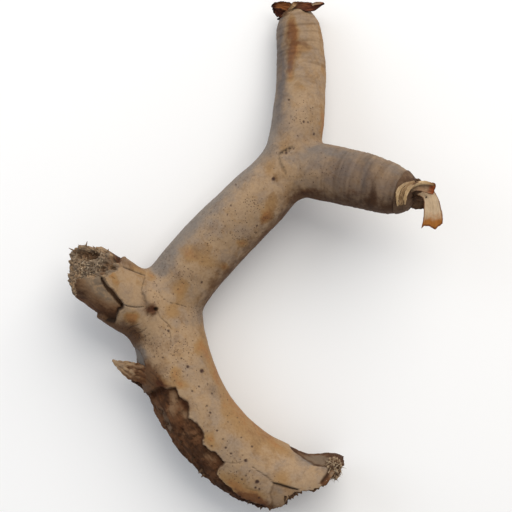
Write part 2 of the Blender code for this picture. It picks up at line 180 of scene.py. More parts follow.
# Distance to a limb's skin, as the nearest of many spheres threaded on its middle line, and the direction
# away from it.
def limbDistance(points, limb, span):
    chosen = (limb["along"] >= span[0]) & (limb["along"] <= span[1])
    step = max(1, int(0.0012 / (limb["along"][1] - limb["along"][0])))
    centres, radii = limb["centre"][chosen][::step], limb["radius"][chosen][::step]
    distance, direction = np.empty(len(points)), np.empty((len(points), 3))
    for start in range(0, len(points), 20000):
        part = points[start:start + 20000]
        gaps = np.sqrt(((part[:, None, :] - centres[None]) ** 2).sum(2))
        best = (gaps - radii).argmin(1)
        rows = np.arange(len(part))
        distance[start:start + 20000] = gaps[rows, best] - radii[best]
        direction[start:start + 20000] = (part - centres[best]) / np.maximum(
            gaps[rows, best], 1e-6)[:, None]
    return distance, direction


# The common skin of two limbs: a smooth minimum of their distances, where the smaller one wins away from
# the fork and the two are rounded into each other within the softness. Points walk outwards until this is
# zero.
def uniteWith(points, outward, own, other, ownSpan, otherSpan, softness, near):
    flat, out = points.reshape(-1, 3).copy(), outward.reshape(-1, 3)
    normal = out.copy()
    beyond = np.full(len(flat), -1.0)
    chosen = np.where(np.linalg.norm(flat - near, axis=1) < forkBlend["reach"])[0]
    start, walk = flat[chosen].copy(), np.zeros(len(chosen))
    for _ in range(7):
        p = start + walk[:, None] * out[chosen]
        a, da = limbDistance(p, own, ownSpan)
        b, db = limbDistance(p, other, otherSpan)
        h = np.clip(0.5 + 0.5 * (b - a) / softness, 0, 1)
        common = b + (a - b) * h - softness * h * (1 - h)
        walk = np.clip(walk - common, 0, forkBlend["farthest"])
    flat[chosen] = start + walk[:, None] * out[chosen]
    blend = h[:, None] * da + (1 - h)[:, None] * db
    normal[chosen] = blend / np.maximum(np.linalg.norm(blend, axis=1), 1e-6)[:, None]
    beyond[chosen] = a - b
    return flat.reshape(points.shape), normal.reshape(points.shape), beyond.reshape(points.shape[:-1])


# Smooth normals of a grid of points: each face's cross product is added to its corners.
def gridNormals(points, faces):
    flat = points.reshape(-1, 3)
    a, b, c, d = (flat[faces[:, k]] for k in range(4))
    face = np.cross(c - a, d - b)
    total = np.zeros_like(flat)
    for k in range(4):
        for axis in range(3):
            total[:, axis] += np.bincount(faces[:, k], face[:, axis], len(flat))
    return total / np.maximum(np.linalg.norm(total, axis=1), 1e-12)[:, None]


# Corners of the four-sided faces between neighbouring rows and columns, closed round where wrapped.
def gridFaces(rows, columns, wrapped=True):
    r = np.arange(rows - 1)[:, None]
    c = np.arange(columns if wrapped else columns - 1)[None]
    n = (c + 1) % columns
    corners = r * columns + c, (r + 1) * columns + c, (r + 1) * columns + n, r * columns + n
    return np.stack(corners, -1).reshape(-1, 4)

# Triangles that close the two ends of a wrapped grid, to a first and a last pole that follow the grid's
# corners.
def endFans(rows, columns):
    c, count, last = np.arange(columns), rows * columns, (rows - 1) * columns
    start = np.stack([np.full(columns, count), c, (c + 1) % columns], -1)
    end = np.stack([np.full(columns, count + 1), last + (c + 1) % columns, last + c], -1)
    return np.vstack([start, end])


def putMesh(name, points, quads, triangles=None, normals=None, fields=None, materials=()):
    mesh = bpy.data.meshes.new(name)
    flat = np.asarray(points, float).reshape(-1, 3)
    triangles = np.zeros((0, 3), int) if triangles is None else np.asarray(triangles, int)
    mesh.vertices.add(len(flat))
    mesh.vertices.foreach_set("co", flat.ravel())
    corners = np.concatenate([quads.ravel(), triangles.ravel()])
    starts = np.concatenate([np.arange(len(quads)) * 4, len(quads) * 4 + np.arange(len(triangles)) * 3])
    mesh.loops.add(len(corners))
    mesh.loops.foreach_set("vertex_index", corners)
    mesh.polygons.add(len(starts))
    mesh.polygons.foreach_set("loop_start", starts)
    mesh.update(calc_edges=True)
    mesh.validate()
    mesh.polygons.foreach_set("use_smooth", np.ones(len(mesh.polygons), bool))
    for key, values in (fields or {}).items():
        mesh.attributes.new(key, "FLOAT", "POINT").data.foreach_set(
            "value", np.asarray(values, np.float32).ravel())
    for material in materials:
        mesh.materials.append(material)
    if normals is not None:
        mesh.normals_split_custom_set_from_vertices(normals)
    piece = bpy.data.objects.new(name, mesh)
    bpy.context.scene.collection.objects.link(piece)
    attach(piece, "root")
    return piece


# Stations of the middle lines in millimetres: x, y, height, radius. They follow the part's source, with
# small moves at the stub and at the top arm's tip to fit the photograph.
trunkLimb = {
    "stations": [
        (87, -233, 30, 30.0), (56, -217, 30, 31.2), (24, -204, 30, 32.8), (-8, -191, 31, 34.0),
        (-38, -166, 34, 34.6),
        (-62, -133, 35, 34.8), (-74, -97, 32, 34.0), (-80, -68, 29, 32.3), (-82, -43, 27, 30.4),
        (-65, -19, 31, 29.4),
        (-45, 4, 36, 29.2), (-22, 28, 40, 28.8), (3, 52, 43, 28.2), (27, 76, 43, 24.8), (36, 104, 40, 23.4),
        (39, 130, 34, 23.4), (41, 156, 28, 22.7), (41, 180, 22, 22.0), (40, 198, 18, 21.4),
        (38, 212, 17, 19.8),
        (37, 221, 17, 13.6),
    ],
    "tip": 5.0,
    "columns": 256,
    "rowStep": (0.86, 0.84, 0.72),  # lower stem, middle stem, top arm
    # back from the tip, depth
    "rings": [(11, 0.3), (19, 0.45), (27, 0.35), (37, 0.4), (45, 0.3), (54, 0.25)],
}
sideLimb = {
    "stations": [
        (27, 76, 43, 20.0), (60, 76, 54, 26.2), (81, 70, 66, 25.0), (99, 65, 73, 24.7), (115, 60, 79, 23.4),
        (127, 56, 84, 20.2), (134, 54, 87, 13.5),
    ],
    "tip": 4.0,
    "columns": 216,
    "rowStep": 0.72,
    "rings": [(9, 0.3), (20, 0.4), (32, 0.9), (40, 0.8), (52, 0.7), (62, 0.6), (74, 0.4)],
}
stubLimb = {
    "stations": [
        (-84, -54, 27, 27.0), (-103, -47, 37, 29.5), (-119, -35.5, 45, 29.4), (-134, -24, 52, 29.0),
        (-148, -14, 60, 28.6),
        (-180, 4, 76, 27.5),
    ],
    "columns": 232,
    "rowStep": 0.72,
    # Where the limb is broken off, by angle round it: degrees, and millimetres beyond the station at x
    # -148.
    "rim": [
        (0, -0.5), (20, -8), (45, -14), (70, -9), (90, 0), (100, 8), (112, 15), (128, 12), (150, 4),
        (180, -3), (225, 3),
        (270, 12), (285, 16.5), (300, 14.5), (310, 13), (318, 8), (323, 2), (333, -1), (345, 0.5),
        (355, 0.5), (360, -0.5),
    ],
}
# Where limbs join: how softly at each fork, how deep a hidden skin is sunk, how far from the fork points
# are moved, and the farthest that they move.
forkBlend = {"stub": 13 * mm, "side": 9 * mm, "sink": 3 * mm, "reach": 85 * mm, "farthest": 11 * mm}
stubNear, sideNear = np.array((-90, -40, 38)) * mm, np.array((48, 78, 50)) * mm

trunk = middleLine(trunkLimb["stations"], trunkLimb["tip"])
side = middleLine(sideLimb["stations"], sideLimb["tip"])
stub = middleLine(stubLimb["stations"])


def alongAt(limb, x, y, z):
    return limb["along"][np.linalg.norm(limb["centre"] - np.array((x, y, z)) * mm, axis=1).argmin()]


firstFork, secondFork = alongAt(trunk, -81, -42, 28), alongAt(trunk, 28, 77, 43)
middleSeam, topSeam = alongAt(trunk, -70, -25, 30), alongAt(trunk, 37, 105, 40)
# The stretches of the limbs that can meet at a fork.
firstSpan, secondSpan = (firstFork - 0.12, firstFork + 0.12), (secondFork - 0.12, secondFork + 0.11)
stubSpan, sideSpan = (0, stub["length"]), (0, side["length"])
print(
    "middle lines: trunk", round(trunk["length"], 3), "side", round(side["length"], 3), "stub",
    round(stub["length"], 3))

# Places where the bark has come away, as outlines in the photograph, with the height that the loss goes
# down to.
bareWood = {
    "strip": {
        "floor": 8 * mm, "depth": 3.0 * mm, "rough": 1.0, "bare": 1.0, "edge": 1.0, "shaded": 0.7,
        "outline": [
            (160, 387), (166.3, 389), (175.5, 388), (179.6, 397), (188.3, 401.4), (188.8, 410.6),
            (187.8, 417.8),
            (191.8, 418.8), (195.9, 422.9), (202, 431), (203.6, 437), (202, 444.3), (207, 448.4),
            (215.3, 453.5),
            (225, 463.2), (218.9, 469.3), (216, 473), (217.3, 476), (223, 482), (231.6, 489),
            (236.4, 495.7),
            (247.8, 501.4), (256, 504.0), (263, 505.6), (268, 508.5), (270, 525), (120, 525), (120, 400),
            (150, 392),
        ],
    },
    "stub": {
        "floor": 3 * mm, "depth": 3.0 * mm, "rough": 0.22, "bare": 1.0, "edge": 1.0, "shaded": 0.25,
        "outline": [
            (126, 250), (122.5, 257.3), (120.3, 261.8), (118, 264), (113.1, 265.8), (115.8, 269.8),
            (110.4, 270.3),
            (107.3, 273.8), (104.2, 275), (104.8, 280), (107.6, 285), (112.9, 290.6), (118.2, 297.2),
            (123.8, 304.6),
            (122.3, 308.9), (118, 311.2), (116.6, 317), (114.3, 323.3), (107.2, 320.6), (103, 317),
            (92, 316),
            (50, 300), (40, 220), (126, 225),
        ],
    },
    "tornEnd": {
        "floor": -6 * mm, "depth": 0.8 * mm, "rough": 0.35, "bare": 1.0, "edge": 0.9, "shaded": 0.7,
        "outline": [
            (291, 447), (293.8, 450.7), (303.3, 457.4), (313.9, 464.6), (323.4, 466), (328.7, 467.5),
            (325.6, 475.6),
            (319.8, 482.8), (326, 492), (352, 492), (352, 436), (291, 436),
        ],
    },
    "plate": {
        "floor": 5 * mm, "depth": 1.1 * mm, "rough": 0.2, "bare": 0.25, "edge": 0.4, "shaded": 1.0,
        "outline": [
            (273.7, 483.3), (286, 486.8), (298.5, 489.7), (300, 500), (285, 520), (272, 520), (271.0, 503),
            (268.8, 494.0),
        ],
    },
}
# Smooth inner bark, laid open on the lower stem's left side.
sleekScar = [
    (131.0, 347.0), (133.7, 347.4), (136.5, 349.0), (140.0, 352), (143.0, 358), (145.0, 364.5),
    (145.2, 369.0), (142.0, 368), (138.4, 364.6), (134.5, 357),
]
gapBesidePlate = [
    (101.6, 279.6), (104.4, 286.3), (108, 292.6), (113.4, 298.4), (118, 304.6), (122, 308.7), (124.2, 305),
    (118.2, 297.2),
    (112.9, 290.6), (107.5, 284.8), (104.8, 279.8), (103.4, 275.5),
]
# Cracks as paths in the photograph: half-width in pixels, depth in millimetres, how dark (painted shade in
# cracks and creases, with some real dirt), and how dotted.
cracks = [
    (0.45, 0.9, 0.9, 0.0, [(123.8, 304.8), (128, 306.2), (135.3, 307.2), (143.9, 307.0)]),
    (0.80, 1.4, 1.0, 0.0, [(123.2, 306), (121.8, 309.2), (118, 311.4), (116.6, 317), (114.3, 323.0)]),
    (1.10, 1.6, 1.0, 0.0, [(106.6, 320.4), (110.5, 322.2), (114.0, 323.3)]),
    (0.38, 0.6, 0.7, 0.2, [(157.6, 311.8), (160.5, 317.6), (167.4, 323.3), (171.4, 329)]),
    (0.32, 0.5, 0.6, 0.1, [(170.3, 332.5), (170.6, 338), (170.4, 344)]),
    (0.45, 0.6, 0.75, 0.9, [
        (158.5, 291), (160, 295), (164, 299), (169, 302.3), (173.7, 303.5), (178.3, 304.4), (186, 307)]),
    (0.55, 1.0, 0.8, 0.0, [(123.4, 266.9), (131, 269.8), (138, 272.5), (144.9, 275.3)]),
    (0.30, 0.4, 0.6, 0.3, [(145.4, 275.2), (143.5, 282.8), (141.8, 290.4), (144.9, 295), (144.2, 301)]),
    (1.9, 0.6, 0.60, 0.60, [(142.8, 292.6), (144.4, 297.5), (146.5, 302.5), (148.9, 307.5), (149.3, 312)]),
    (1.7, 0.7, 0.55, 0.60, [(146.8, 308), (147.4, 312), (149.5, 315.0), (153, 315.6), (156.4, 312.5)]),
    (0.8, 0.5, 0.50, 0.5, [(150.6, 306.5), (152.0, 309.2), (153.6, 311.0)]),
    (0.38, 0.6, 0.75, 0.1, [(252.6, 467), (262.7, 473.7), (268, 477.5), (273.7, 483.3)]),
    (0.95, 2.0, 1.0, 0.0, [(273.2, 483.0), (279, 484.6), (286, 486.8), (292, 488.4), (297.8, 489.4)]),
    (1.7, 0.6, 0.50, 0.45, [(279.0, 153.4), (279.5, 159), (281, 164.8), (283, 169), (285.6, 172.8)]),
    (1.8, 0.5, 0.90, 0.55, [(278.5, 154), (283, 151.4), (288, 149.0), (293.5, 147.0)]),
    (2.0, 0.5, 0.70, 0.2, [(329.5, 467.5), (327, 474), (322.5, 481)]),
    (0.50, 0.5, 0.7, 0.2, [(293.8, 450.9), (303.3, 457.6), (313.9, 464.8), (323.4, 466.2)]),
    (0.35, 0.3, 0.5, 0.1, [(225, 461.6), (230, 463), (236, 463.2), (242, 461.8)]),
    (0.35, 0.3, 0.5, 0.1, [(111.3, 276.5), (113, 277.4), (114.5, 278.8)]),
    (0.35, 0.3, 0.4, 0.2, [(246, 488), (252, 489.6), (259, 491.2)]),
    (0.30, 0.3, 0.4, 0.5, [(196, 404), (198, 411), (200, 416)]),
    (0.45, 0.5, 0.6, 0.5, [(127, 331), (131, 327), (136.5, 325), (141, 323.5)]),
    (0.45, 0.5, 0.6, 0.5, [(128.5, 337), (134, 333.6), (141, 332), (147.5, 327.5)]),
    (0.45, 0.5, 0.6, 0.5, [(132, 342), (138, 339), (144.5, 337.2), (150, 333.6)]),
    (0.35, 0.4, 0.5, 0.6, [(135, 348), (140, 345), (146, 343.5)]),
    (0.70, 0.5, 0.6, 0.5, [(130, 334), (133.5, 331), (136, 330)]),
    (0.40, 0.4, 0.5, 0.3, [(150, 371), (155, 375.5), (159, 382), (163, 386)]),
    (0.40, 0.4, 0.5, 0.4, [(146, 378), (151, 383.5), (156, 388)]),
]
# Corky spots in the photograph: x, y, radius, all in pixels.
corkSpots = [
    (201.8, 371, 1.9), (187.7, 366.7, 1.5), (201.8, 282.5, 1.2), (168.6, 331, 1.3), (212, 393.5, 1.0),
    (257.1, 481.8, 2.2),
    (245.7, 460.5, 1.7), (252, 446.6, 1.1), (210.5, 412.7, 1.2), (217, 430.6, 1.0), (223, 439, 1.0),
    (225.8, 447.8, 1.2),
    (231, 453.6, 1.1), (242, 479.4, 1.0), (211.5, 445.7, 1.0), (198.9, 386.5, 1.0), (192.2, 391, 1.1),
    (201.3, 356.5, 0.8),
    (181.3, 358.3, 0.8), (162.7, 357.4, 0.9), (154.6, 356.6, 0.8), (206.9, 405.7, 0.9), (255.5, 487.7, 1.2),
    (259.3, 489.3, 1.0), (258.8, 498, 1.1), (246, 475.5, 0.9), (250, 470.6, 0.8), (242.5, 455.2, 0.7),
    (241.3, 437.5, 0.8),
    (227.8, 421.9, 0.7), (237.3, 417.7, 0.6), (236, 184.8, 0.9), (231, 205.5, 1.0), (257, 225.8, 0.9),
    (256, 232.6, 0.8), (178, 289.2, 0.7), (173.4, 381.4, 0.6), (182.8, 371.2, 0.7), (158, 378, 0.7),
    (286, 153, 1.3),
    (273.4, 178.9, 2.0), (303.7, 121.8, 1.1), (308, 122.2, 0.9), (288.8, 99.8, 1.1), (313.9, 134, 1.1),
    (214.2, 473, 0.7),
]
# Colour patches in the photograph: x, y, half-length, half-width, tilt in degrees, strength.
patches = {
    "warm": [
        (188, 253, 11, 7, 40, 1.1), (207, 259, 15, 8, 35, 0.8), (242, 242.5, 7, 4.5, 0, 1.3),
        (225, 268, 6, 4, 40, 1.2),
        (271, 205, 7, 15, 25, 0.9), (270, 168, 7, 14, -10, 0.8), (267, 216, 6, 5, 0, 1.0),
        (284, 146, 8, 6, 30, 0.9),
        (181, 289, 8, 10, 20, 1.2), (172, 311, 11, 9, 10, 1.0), (151.5, 276, 4, 5, -30, 1.3),
        (131.5, 317, 8, 6, 0, 2.2),
        (116, 282, 4, 7, -25, 1.1), (113, 274, 5, 4, 0, 1.0), (175.5, 373, 8, 6, 0, 1.2),
        (181, 384, 8, 6, 20, 1.3),
        (163, 381, 9, 4, 30, 1.0), (198, 347, 6, 6, 0, 1.1), (206, 352, 4, 20, -15, 0.9),
        (217, 378, 3.5, 14, -18, 0.9),
        (210, 441, 8, 6, 40, 1.3), (278, 446, 24, 6, 38, 1.1), (283, 479, 10, 9, 0, 0.9),
        (254, 494, 13, 5, 15, 1.2),
        (292, 30, 5.5, 14, 0, 1.4), (292.5, 55, 5.5, 15, 0, 1.5), (303, 48, 11, 4, 0, 0.9),
        (290, 76, 5, 9, 10, 1.1),
        (322.5, 122, 3.5, 16, 0, 1.4), (303, 86, 5, 5, 0, 0.6), (323.5, 68, 3, 6, 0, 0.8),
        (322, 36, 2.5, 16, -8, 0.6),
        (235, 405, 16, 22, 30, 0.6), (246, 430, 20, 14, 30, 0.7), (165, 345, 14, 9, 60, 0.5),
        (232, 484, 18, 5, 40, 1.1),
        (237, 480, 12, 8, 40, 0.7), (260, 421, 22, 5, 42, 0.9), (140, 268, 9, 4, 15, 0.8),
        (246, 208, 14, 8, 45, 0.3),
        (305, 190, 10, 8, 0, 0.4), (262, 452, 18, 8, 40, 0.5), (225, 405, 6, 10, 0, 0.5),
        (209, 246, 5, 7, 0, 0.5),
    ],
    "rust": [
        (291.5, 30, 4.5, 10, 0, 0.9), (292, 50, 5, 13, 0, 1.0), (290, 66, 3.5, 7, 5, 0.6),
        (300, 44, 8, 3, 0, 0.5),
        (256, 500, 11, 4, 15, 1.3), (244, 496, 7, 3.5, 35, 1.0), (131, 321, 6, 3.5, 0, 0.5),
        (160, 384, 5, 3, 20, 0.8),
        (160, 395.5, 3.5, 3, 0, 1.0), (271, 212, 5, 8, 25, 0.5), (264, 220, 5, 5, 0, 0.4),
        (303, 193, 12, 5, -10, 0.5),
        (355, 193, 14, 4, 8, 0.5), (318, 190, 12, 4, 0, 0.4), (285, 142, 3, 4, 0, 0.3),
        (151, 311, 4.5, 4, 0, 1.0), (158, 389, 6, 8, -20, 0.5),
    ],
    # Blue-grey patches: the bark's own grey, and along the -x, +y rims of the middle stem and top arm also
    # painted blue fill light.
    "cool": [
        (281, 60, 2.5, 60, 0, 0.5), (274, 120, 5, 22, 14, 0.5), (262, 146, 7, 16, 38, 0.45),
        (241, 170, 8, 20, 45, 0.35),
        (214, 199, 9, 20, 42, 0.35), (188, 229, 8, 22, 38, 0.4), (168, 258, 9, 14, 30, 0.5),
        (159, 270, 8, 7, 0, 0.5),
        (203, 358, 7, 9, 0, 0.3), (215, 390, 9, 20, -15, 0.45), (196, 366, 8, 8, 0, 0.25),
        (141, 352, 3.0, 9, -20, 0.9),
        (213, 420, 6, 8, 0, 0.35), (233, 450, 8, 12, 0, 0.35), (335, 152, 34, 6, 12, 0.8),
        (305, 158, 20, 10, 5, 0.45), (391, 168, 14, 5, 25, 0.8), (365, 178, 5, 22, 8, 0.8),
        (314, 108, 8, 26, 0, 0.25),
        (198, 318, 9, 12, 20, 0.6), (220, 226, 20, 16, 45, 0.25), (345, 170, 9, 14, 10, 0.5),
        (303, 476, 14, 7, 10, 0.35),
        (279, 491, 6, 4.5, 15, 0.8), (92, 290, 5, 9, -35, 0.3), (164, 424, 2.4, 20, -32, 1.2),
        (320, 459.5, 20, 6, 8, 2.2),
    ],
    "dull": [
        (350, 180, 48, 34, 12, 1.15), (395, 190, 22, 26, 20, 0.5), (240, 215, 52, 22, -47, 0.18),
        (300, 128, 16, 16, 0, 0.30),
        (200, 312, 16, 16, 0, 0.35), (186, 277, 14, 8, 0, 0.35), (280, 60, 7, 60, 0, 1.1),
        (150, 335, 18, 10, 20, 0.2), (304, 40, 10, 40, 0, 0.25),
    ],
    # Darker patches: mostly painted shade, below the first fork, under the side arm and in creases; at the knot
    # and the lower end partly the bark's own darker brown.
    "shade": [
        (139, 337, 16, 8, 30, 0.6), (131, 345, 8, 12, -20, 0.35), (150, 372, 7, 13, -25, 0.9),
        (157, 386, 8, 7, 0, 0.8),
        (285, 196, 16, 7, -35, 0.35), (306, 197, 14, 7, -10, 0.4), (372, 190, 3.5, 18, 5, 0.7),
        (240, 500, 14, 4, 35, 0.6),
        (262, 507, 12, 3.5, 10, 1.0), (124, 335, 11, 7, 45, 0.7), (170, 260, 8, 9, 30, 0.2),
        (186, 278, 11, 5, 10, 0.3),
        (273.5, 179, 3, 3, 0, 0.5), (375, 200, 24, 8, 10, 0.5), (398, 208, 10, 6, 10, 0.6),
        (316, 204, 20, 4, 5, 0.4),
        (130, 262, 10, 4, 20, 0.4), (118, 256, 5, 5, 30, 0.4), (160, 360, 6, 22, -15, 0.35),
        (288, 45, 3, 30, 0, 0.3),
        (127, 343, 10, 22, -25, 0.35), (152, 386, 9, 13, -30, 1.3), (144, 378, 7, 13, -25, 1.3),
        (110, 324, 12, 5, 30, 0.5), (151, 310, 5, 5.5, 0, 1.0), (145, 300, 4, 8, -20, 0.45),
        (132, 266, 14, 4.5, 22, 0.25), (120, 260, 5, 5, 30, 0.3),
        (78, 294, 5, 12, -38, 0.25), (100, 313, 10, 4, 40, 0.3), (178, 428, 4, 7, -30, 0.6),
        (185, 405, 3.5, 9, -15, 0.9),
        (199, 466, 4, 8, -40, 0.8), (221, 464, 5, 5, 0, 0.5), (200, 430, 3, 10, -20, 0.5),
        (164, 386, 8, 2.5, 10, 0.6),
    ],
    "pale": [
        (172, 399, 5.5, 9, -10, 0.55), (169, 411, 5, 6, -10, 0.40), (186, 436, 7, 9, -20, 0.22),
        (187, 417, 8, 3.2, 30, 0.75), (209, 458, 6, 5, 20, 0.30),
        (194, 434, 4, 8, -20, 0.18), (97, 281, 9, 11, -38, 1.2), (105, 293, 8, 14, -38, 1.1),
        (116, 303, 6, 7, -30, 0.45), (86, 290, 14, 20, -38, 0.42),
        (84, 269, 15, 7, 0, 0.75), (104, 254, 10, 7, 20, 0.55), (322, 460, 16, 4, 10, 0.20),
        (305, 456, 10, 3, 30, 0.40),
        (72, 258, 5, 5, 0, 0.9), (80, 246, 9, 4, -20, 0.55), (106, 247, 8, 5, 20, 0.55),
        (279, 495, 9, 8, 0, 0.75),
        (333, 474, 3, 4, 0, 0.9), (92, 277, 12, 3, 0, 0.4),
    ],
    "specks": [
        (187, 277, 13, 6, 10, 1.4), (167, 262, 8, 10, 30, 1.0), (253, 207, 12, 8, 45, 1.1),
        (231, 235, 14, 5, 10, 1.0),
        (137, 337, 16, 9, 25, 1.4), (300, 100, 10, 12, 0, 0.8), (300, 118, 14, 8, 0, 0.9),
        (197, 315, 10, 6, 0, 1.0),
        (172, 345, 14, 30, -20, 0.6), (245, 232, 14, 10, 40, 0.8), (207, 240, 14, 10, 40, 0.8),
        (165, 372, 8, 5, 0, 1.1),
        (185, 351, 8, 6, 0, 0.7), (287, 150, 8, 4, 0, 1.2), (232, 470, 20, 12, 30, 0.6),
        (330, 172, 20, 12, 0, 0.4),
        (215, 215, 20, 14, 45, 0.5), (155, 285, 8, 12, 0, 0.9), (126, 288, 15, 14, 0, -1.2),
        (300, 60, 16, 40, 0, -0.8), (310, 475, 22, 12, 20, -0.9),
        (270, 455, 22, 14, 40, -0.5),
    ],
}
# Painted light by the way each side faces, all along the branch: painted shade on sides facing down and
# towards -y, painted blue sky light on sides facing -x and +y, painted warm light on sides facing +x; with
# the strength and where it starts.
paintedLightByFacing = {
    "shade": {"facing": (0.15, -0.93, -0.33), "from": 0.05, "to": 0.85, "strength": 1.05},
    "cool": {"facing": (-0.83, 0.55, -0.05), "from": 0.10, "to": 1.15, "strength": 1.0},
    "warm": {"facing": (0.92, 0.35, -0.15), "from": 0.45, "to": 1.0, "strength": 0.55},
}
knotPit = (156.0, 309.2, 2.1, 3.2 * mm)  # x, y and radius in the photograph, depth
knotRing = (151.0, 308.5, 5.2, 0.5 * mm)  # the raised ring beside it: x, y and radius, height
lowerNotch = (299, 501, 14, 8.5 * mm)  # where the lower break bites in: x, y and radius, depth
lowerCorner = (338, 344, 3.5 * mm)  # pixels across between which the lower break is cut back, and how far
# lengths from the break, degrees
lowerFlare = {"size": 12 * mm, "from": 34 * mm, "full": 5 * mm, "towards": 12}
breaks = {
    "lower": {"point": (39, -210, 30), "facing": (0.46, -0.87, -0.16), "rings": 46},
    "stub": {"point": (-149, -9, 62), "facing": (-0.60, 0.30, 0.74), "rings": 60},
}


# The sum of soft turned ellipses: each is its strength times a bell curve of the distance in its own axes.
def patchField(q, kind):
    total = np.zeros(q.shape[:-1])
    for x, y, a, b, tilt, strength in patches[kind]:
        c, s = math.cos(math.radians(tilt)), math.sin(math.radians(tilt))
        dx, dy = q[..., 0] - x, q[..., 1] - y
        total += strength * np.exp(-(((c * dx + s * dy) / a) ** 2 + ((c * dy - s * dx) / b) ** 2))
    return total


# All that is worked into the skin at each place: how far it moves along its normal, and the fields that the
# bark's material reads. It depends on the place alone, so that two limbs agree where they meet.
def workedSkin(points, normals, fibre):
    flat = points.reshape(-1, 3)
    up = normals.reshape(-1, 3)[:, 2]
    q = photoPlace(flat)
    seen = smoothStep(-0.35, 0.0, up)
    ragged = np.stack([grain(flat, 8 * mm, 1), grain(flat, 8 * mm, 2)], -1) * 1.5
    ragged += np.stack([grain(flat, 2.6 * mm, 3), grain(flat, 2.6 * mm, 4)], -1) * 0.9
    soft = np.stack([grain(flat, 14 * mm, 5), grain(flat, 14 * mm, 6)], -1) * 3.0
    soft += np.stack([grain(flat, 4 * mm, 7), grain(flat, 4 * mm, 8)], -1) * 1.2
    move = 0.55 * mm * grain(flat, 30 * mm, 9) + 0.32 * mm * grain(flat, 12 * mm, 10)
    move += 0.10 * mm * grain(flat, 4.5 * mm, 11) + 0.04 * mm * grain(flat, 1.9 * mm, 12)
    bare, edge, lip, rough, deepest, unshaded = np.zeros((6, len(flat)))
    # Below the widest part the outlines wander more, because the photograph doesn't show them there.
    sway = (6 * smoothStep(0.25, -0.4, up) * grain(flat, 22 * mm, 35))[:, None]
    for place in bareWood.values():
        away = outlineDistance(
            q + sway + ragged * (0.8 if place["depth"] > 2 * mm else 0.45), place["outline"])
        away = np.maximum(away, (place["floor"] - flat[:, 2]) / (0.9 * mm) + 3 * grain(flat, 7 * mm, 13))
        inside = smoothStep(0.7, -0.7, away)
        strength = place["depth"] / (3 * mm)
        deepest = np.maximum(deepest, inside * place["depth"])
        rough = np.maximum(rough, inside * place["rough"])
        bare = np.maximum(bare, inside * place["bare"])
        unshaded = np.maximum(unshaded, inside * (1 - place["shaded"]))
        # A dark band just inside each outline, at the foot of the bark's wall: painted shade.
        edge = np.maximum(edge, place["edge"] * np.exp(-((away + 1.3) / 1.0) ** 2))
        lip = np.maximum(lip, strength * np.exp(-((away - 1.2) / 1.1) ** 2))
    # The gap beside the plate is sunk and darkened: painted shadow under the plate's lifted edge.
    gap = smoothStep(0.6, -0.6, outlineDistance(q + 0.3 * ragged, gapBesidePlate)) * seen
    edge = np.maximum(edge, gap)
    deepest = np.maximum(deepest, gap * 5.5 * mm)
    move += -deepest + 0.45 * mm * lip
    strands = 1 - np.abs(grain(fibre, 1.0, 14)) + 0.5 * (1 - np.abs(grain(fibre, 0.5, 15)))
    lumps = grain(flat, 5 * mm, 16) + 0.6 * grain(flat, 2.2 * mm, 17)
    move += rough * (0.65 * mm * (strands - 0.9) + 0.5 * mm * lumps)
    # Two ragged layers of rotten bark are left on the wood, one over the other.
    under = grain(flat, 15 * mm, 18) + 0.35 * grain(flat, 4 * mm, 19)
    over = grain(flat, 8 * mm, 29) + 0.4 * grain(flat, 2.6 * mm, 30)
    layer = smoothStep(-0.03, 0.08, under) + 0.8 * smoothStep(0.02, 0.12, over)
    move -= rough * 0.95 * mm * layer * (1 - gap)
    # Dark lines where one rotten layer steps down to the next: painted shade.
    edge = np.maximum(edge, 0.75 * rough * np.exp(-((under - 0.02) / 0.05) ** 2))
    away = outlineDistance(q + 0.4 * ragged, sleekScar)
    sleek = smoothStep(0.8, -0.8, away) * seen
    move -= 0.7 * mm * sleek
    # A dark rim round the scar's step: painted shade.
    edge = np.maximum(edge, 0.7 * np.exp(-((away - 0.3) / 0.8) ** 2) * seen)
    crack = np.zeros(len(flat))
    broken = smoothStep(-0.2, 0.3, grain(flat, 1.7 * mm, 20))
    for width, depth, dark, dotted, path in cracks:
        gapTo, along = pathDistance(q + 0.22 * ragged, path)
        taper = 0.35 + 0.65 * np.sin(np.pi * np.clip(along, 0.04, 0.96)) ** 0.5
        line = np.exp(-(gapTo / (width * taper + 0.12)) ** 2) * (1 - dotted * broken) * seen
        crack = np.maximum(crack, dark * line)
        move -= depth * mm * line
    px, py, size, depth = knotPit
    hole = smoothStep(
        1.15, 0.6, np.hypot(q[:, 0] - px, q[:, 1] - py) / size + 0.2 * grain(flat, 2 * mm, 21)) * seen
    move -= depth * hole
    # The knot's pit is darkened through the crack field: painted shade.
    crack = np.maximum(crack, hole)
    px, py, size, height = knotRing
    move += height * np.exp(-((np.hypot(q[:, 0] - px, q[:, 1] - py) - size) / 1.3) ** 2) * seen
    spots = np.zeros(len(flat))
    uneven = 0.25 * grain(flat, 1.6 * mm, 22)
    for x, y, size in corkSpots:
        r = np.hypot(q[:, 0] - x, q[:, 1] - y) / size + uneven
        spot = smoothStep(1.35, 0.6, r) * seen
        spots = np.maximum(spots, spot * min(1, 0.6 + 0.35 * size))
        move += 0.18 * mm * np.exp(-((r - 1.1) / 0.4) ** 2) * seen - 0.21 * mm * size * spot ** 2
    fields = {
        kind: patchField(q + (soft if kind != "pale" else 0.6 * soft), kind) * seen for kind in patches}
    wander = 0.10 * grain(flat, 24 * mm, 27) + 0.14 * grain(flat, 8 * mm, 28) + 0.10 * grain(flat, 3 * mm, 31)
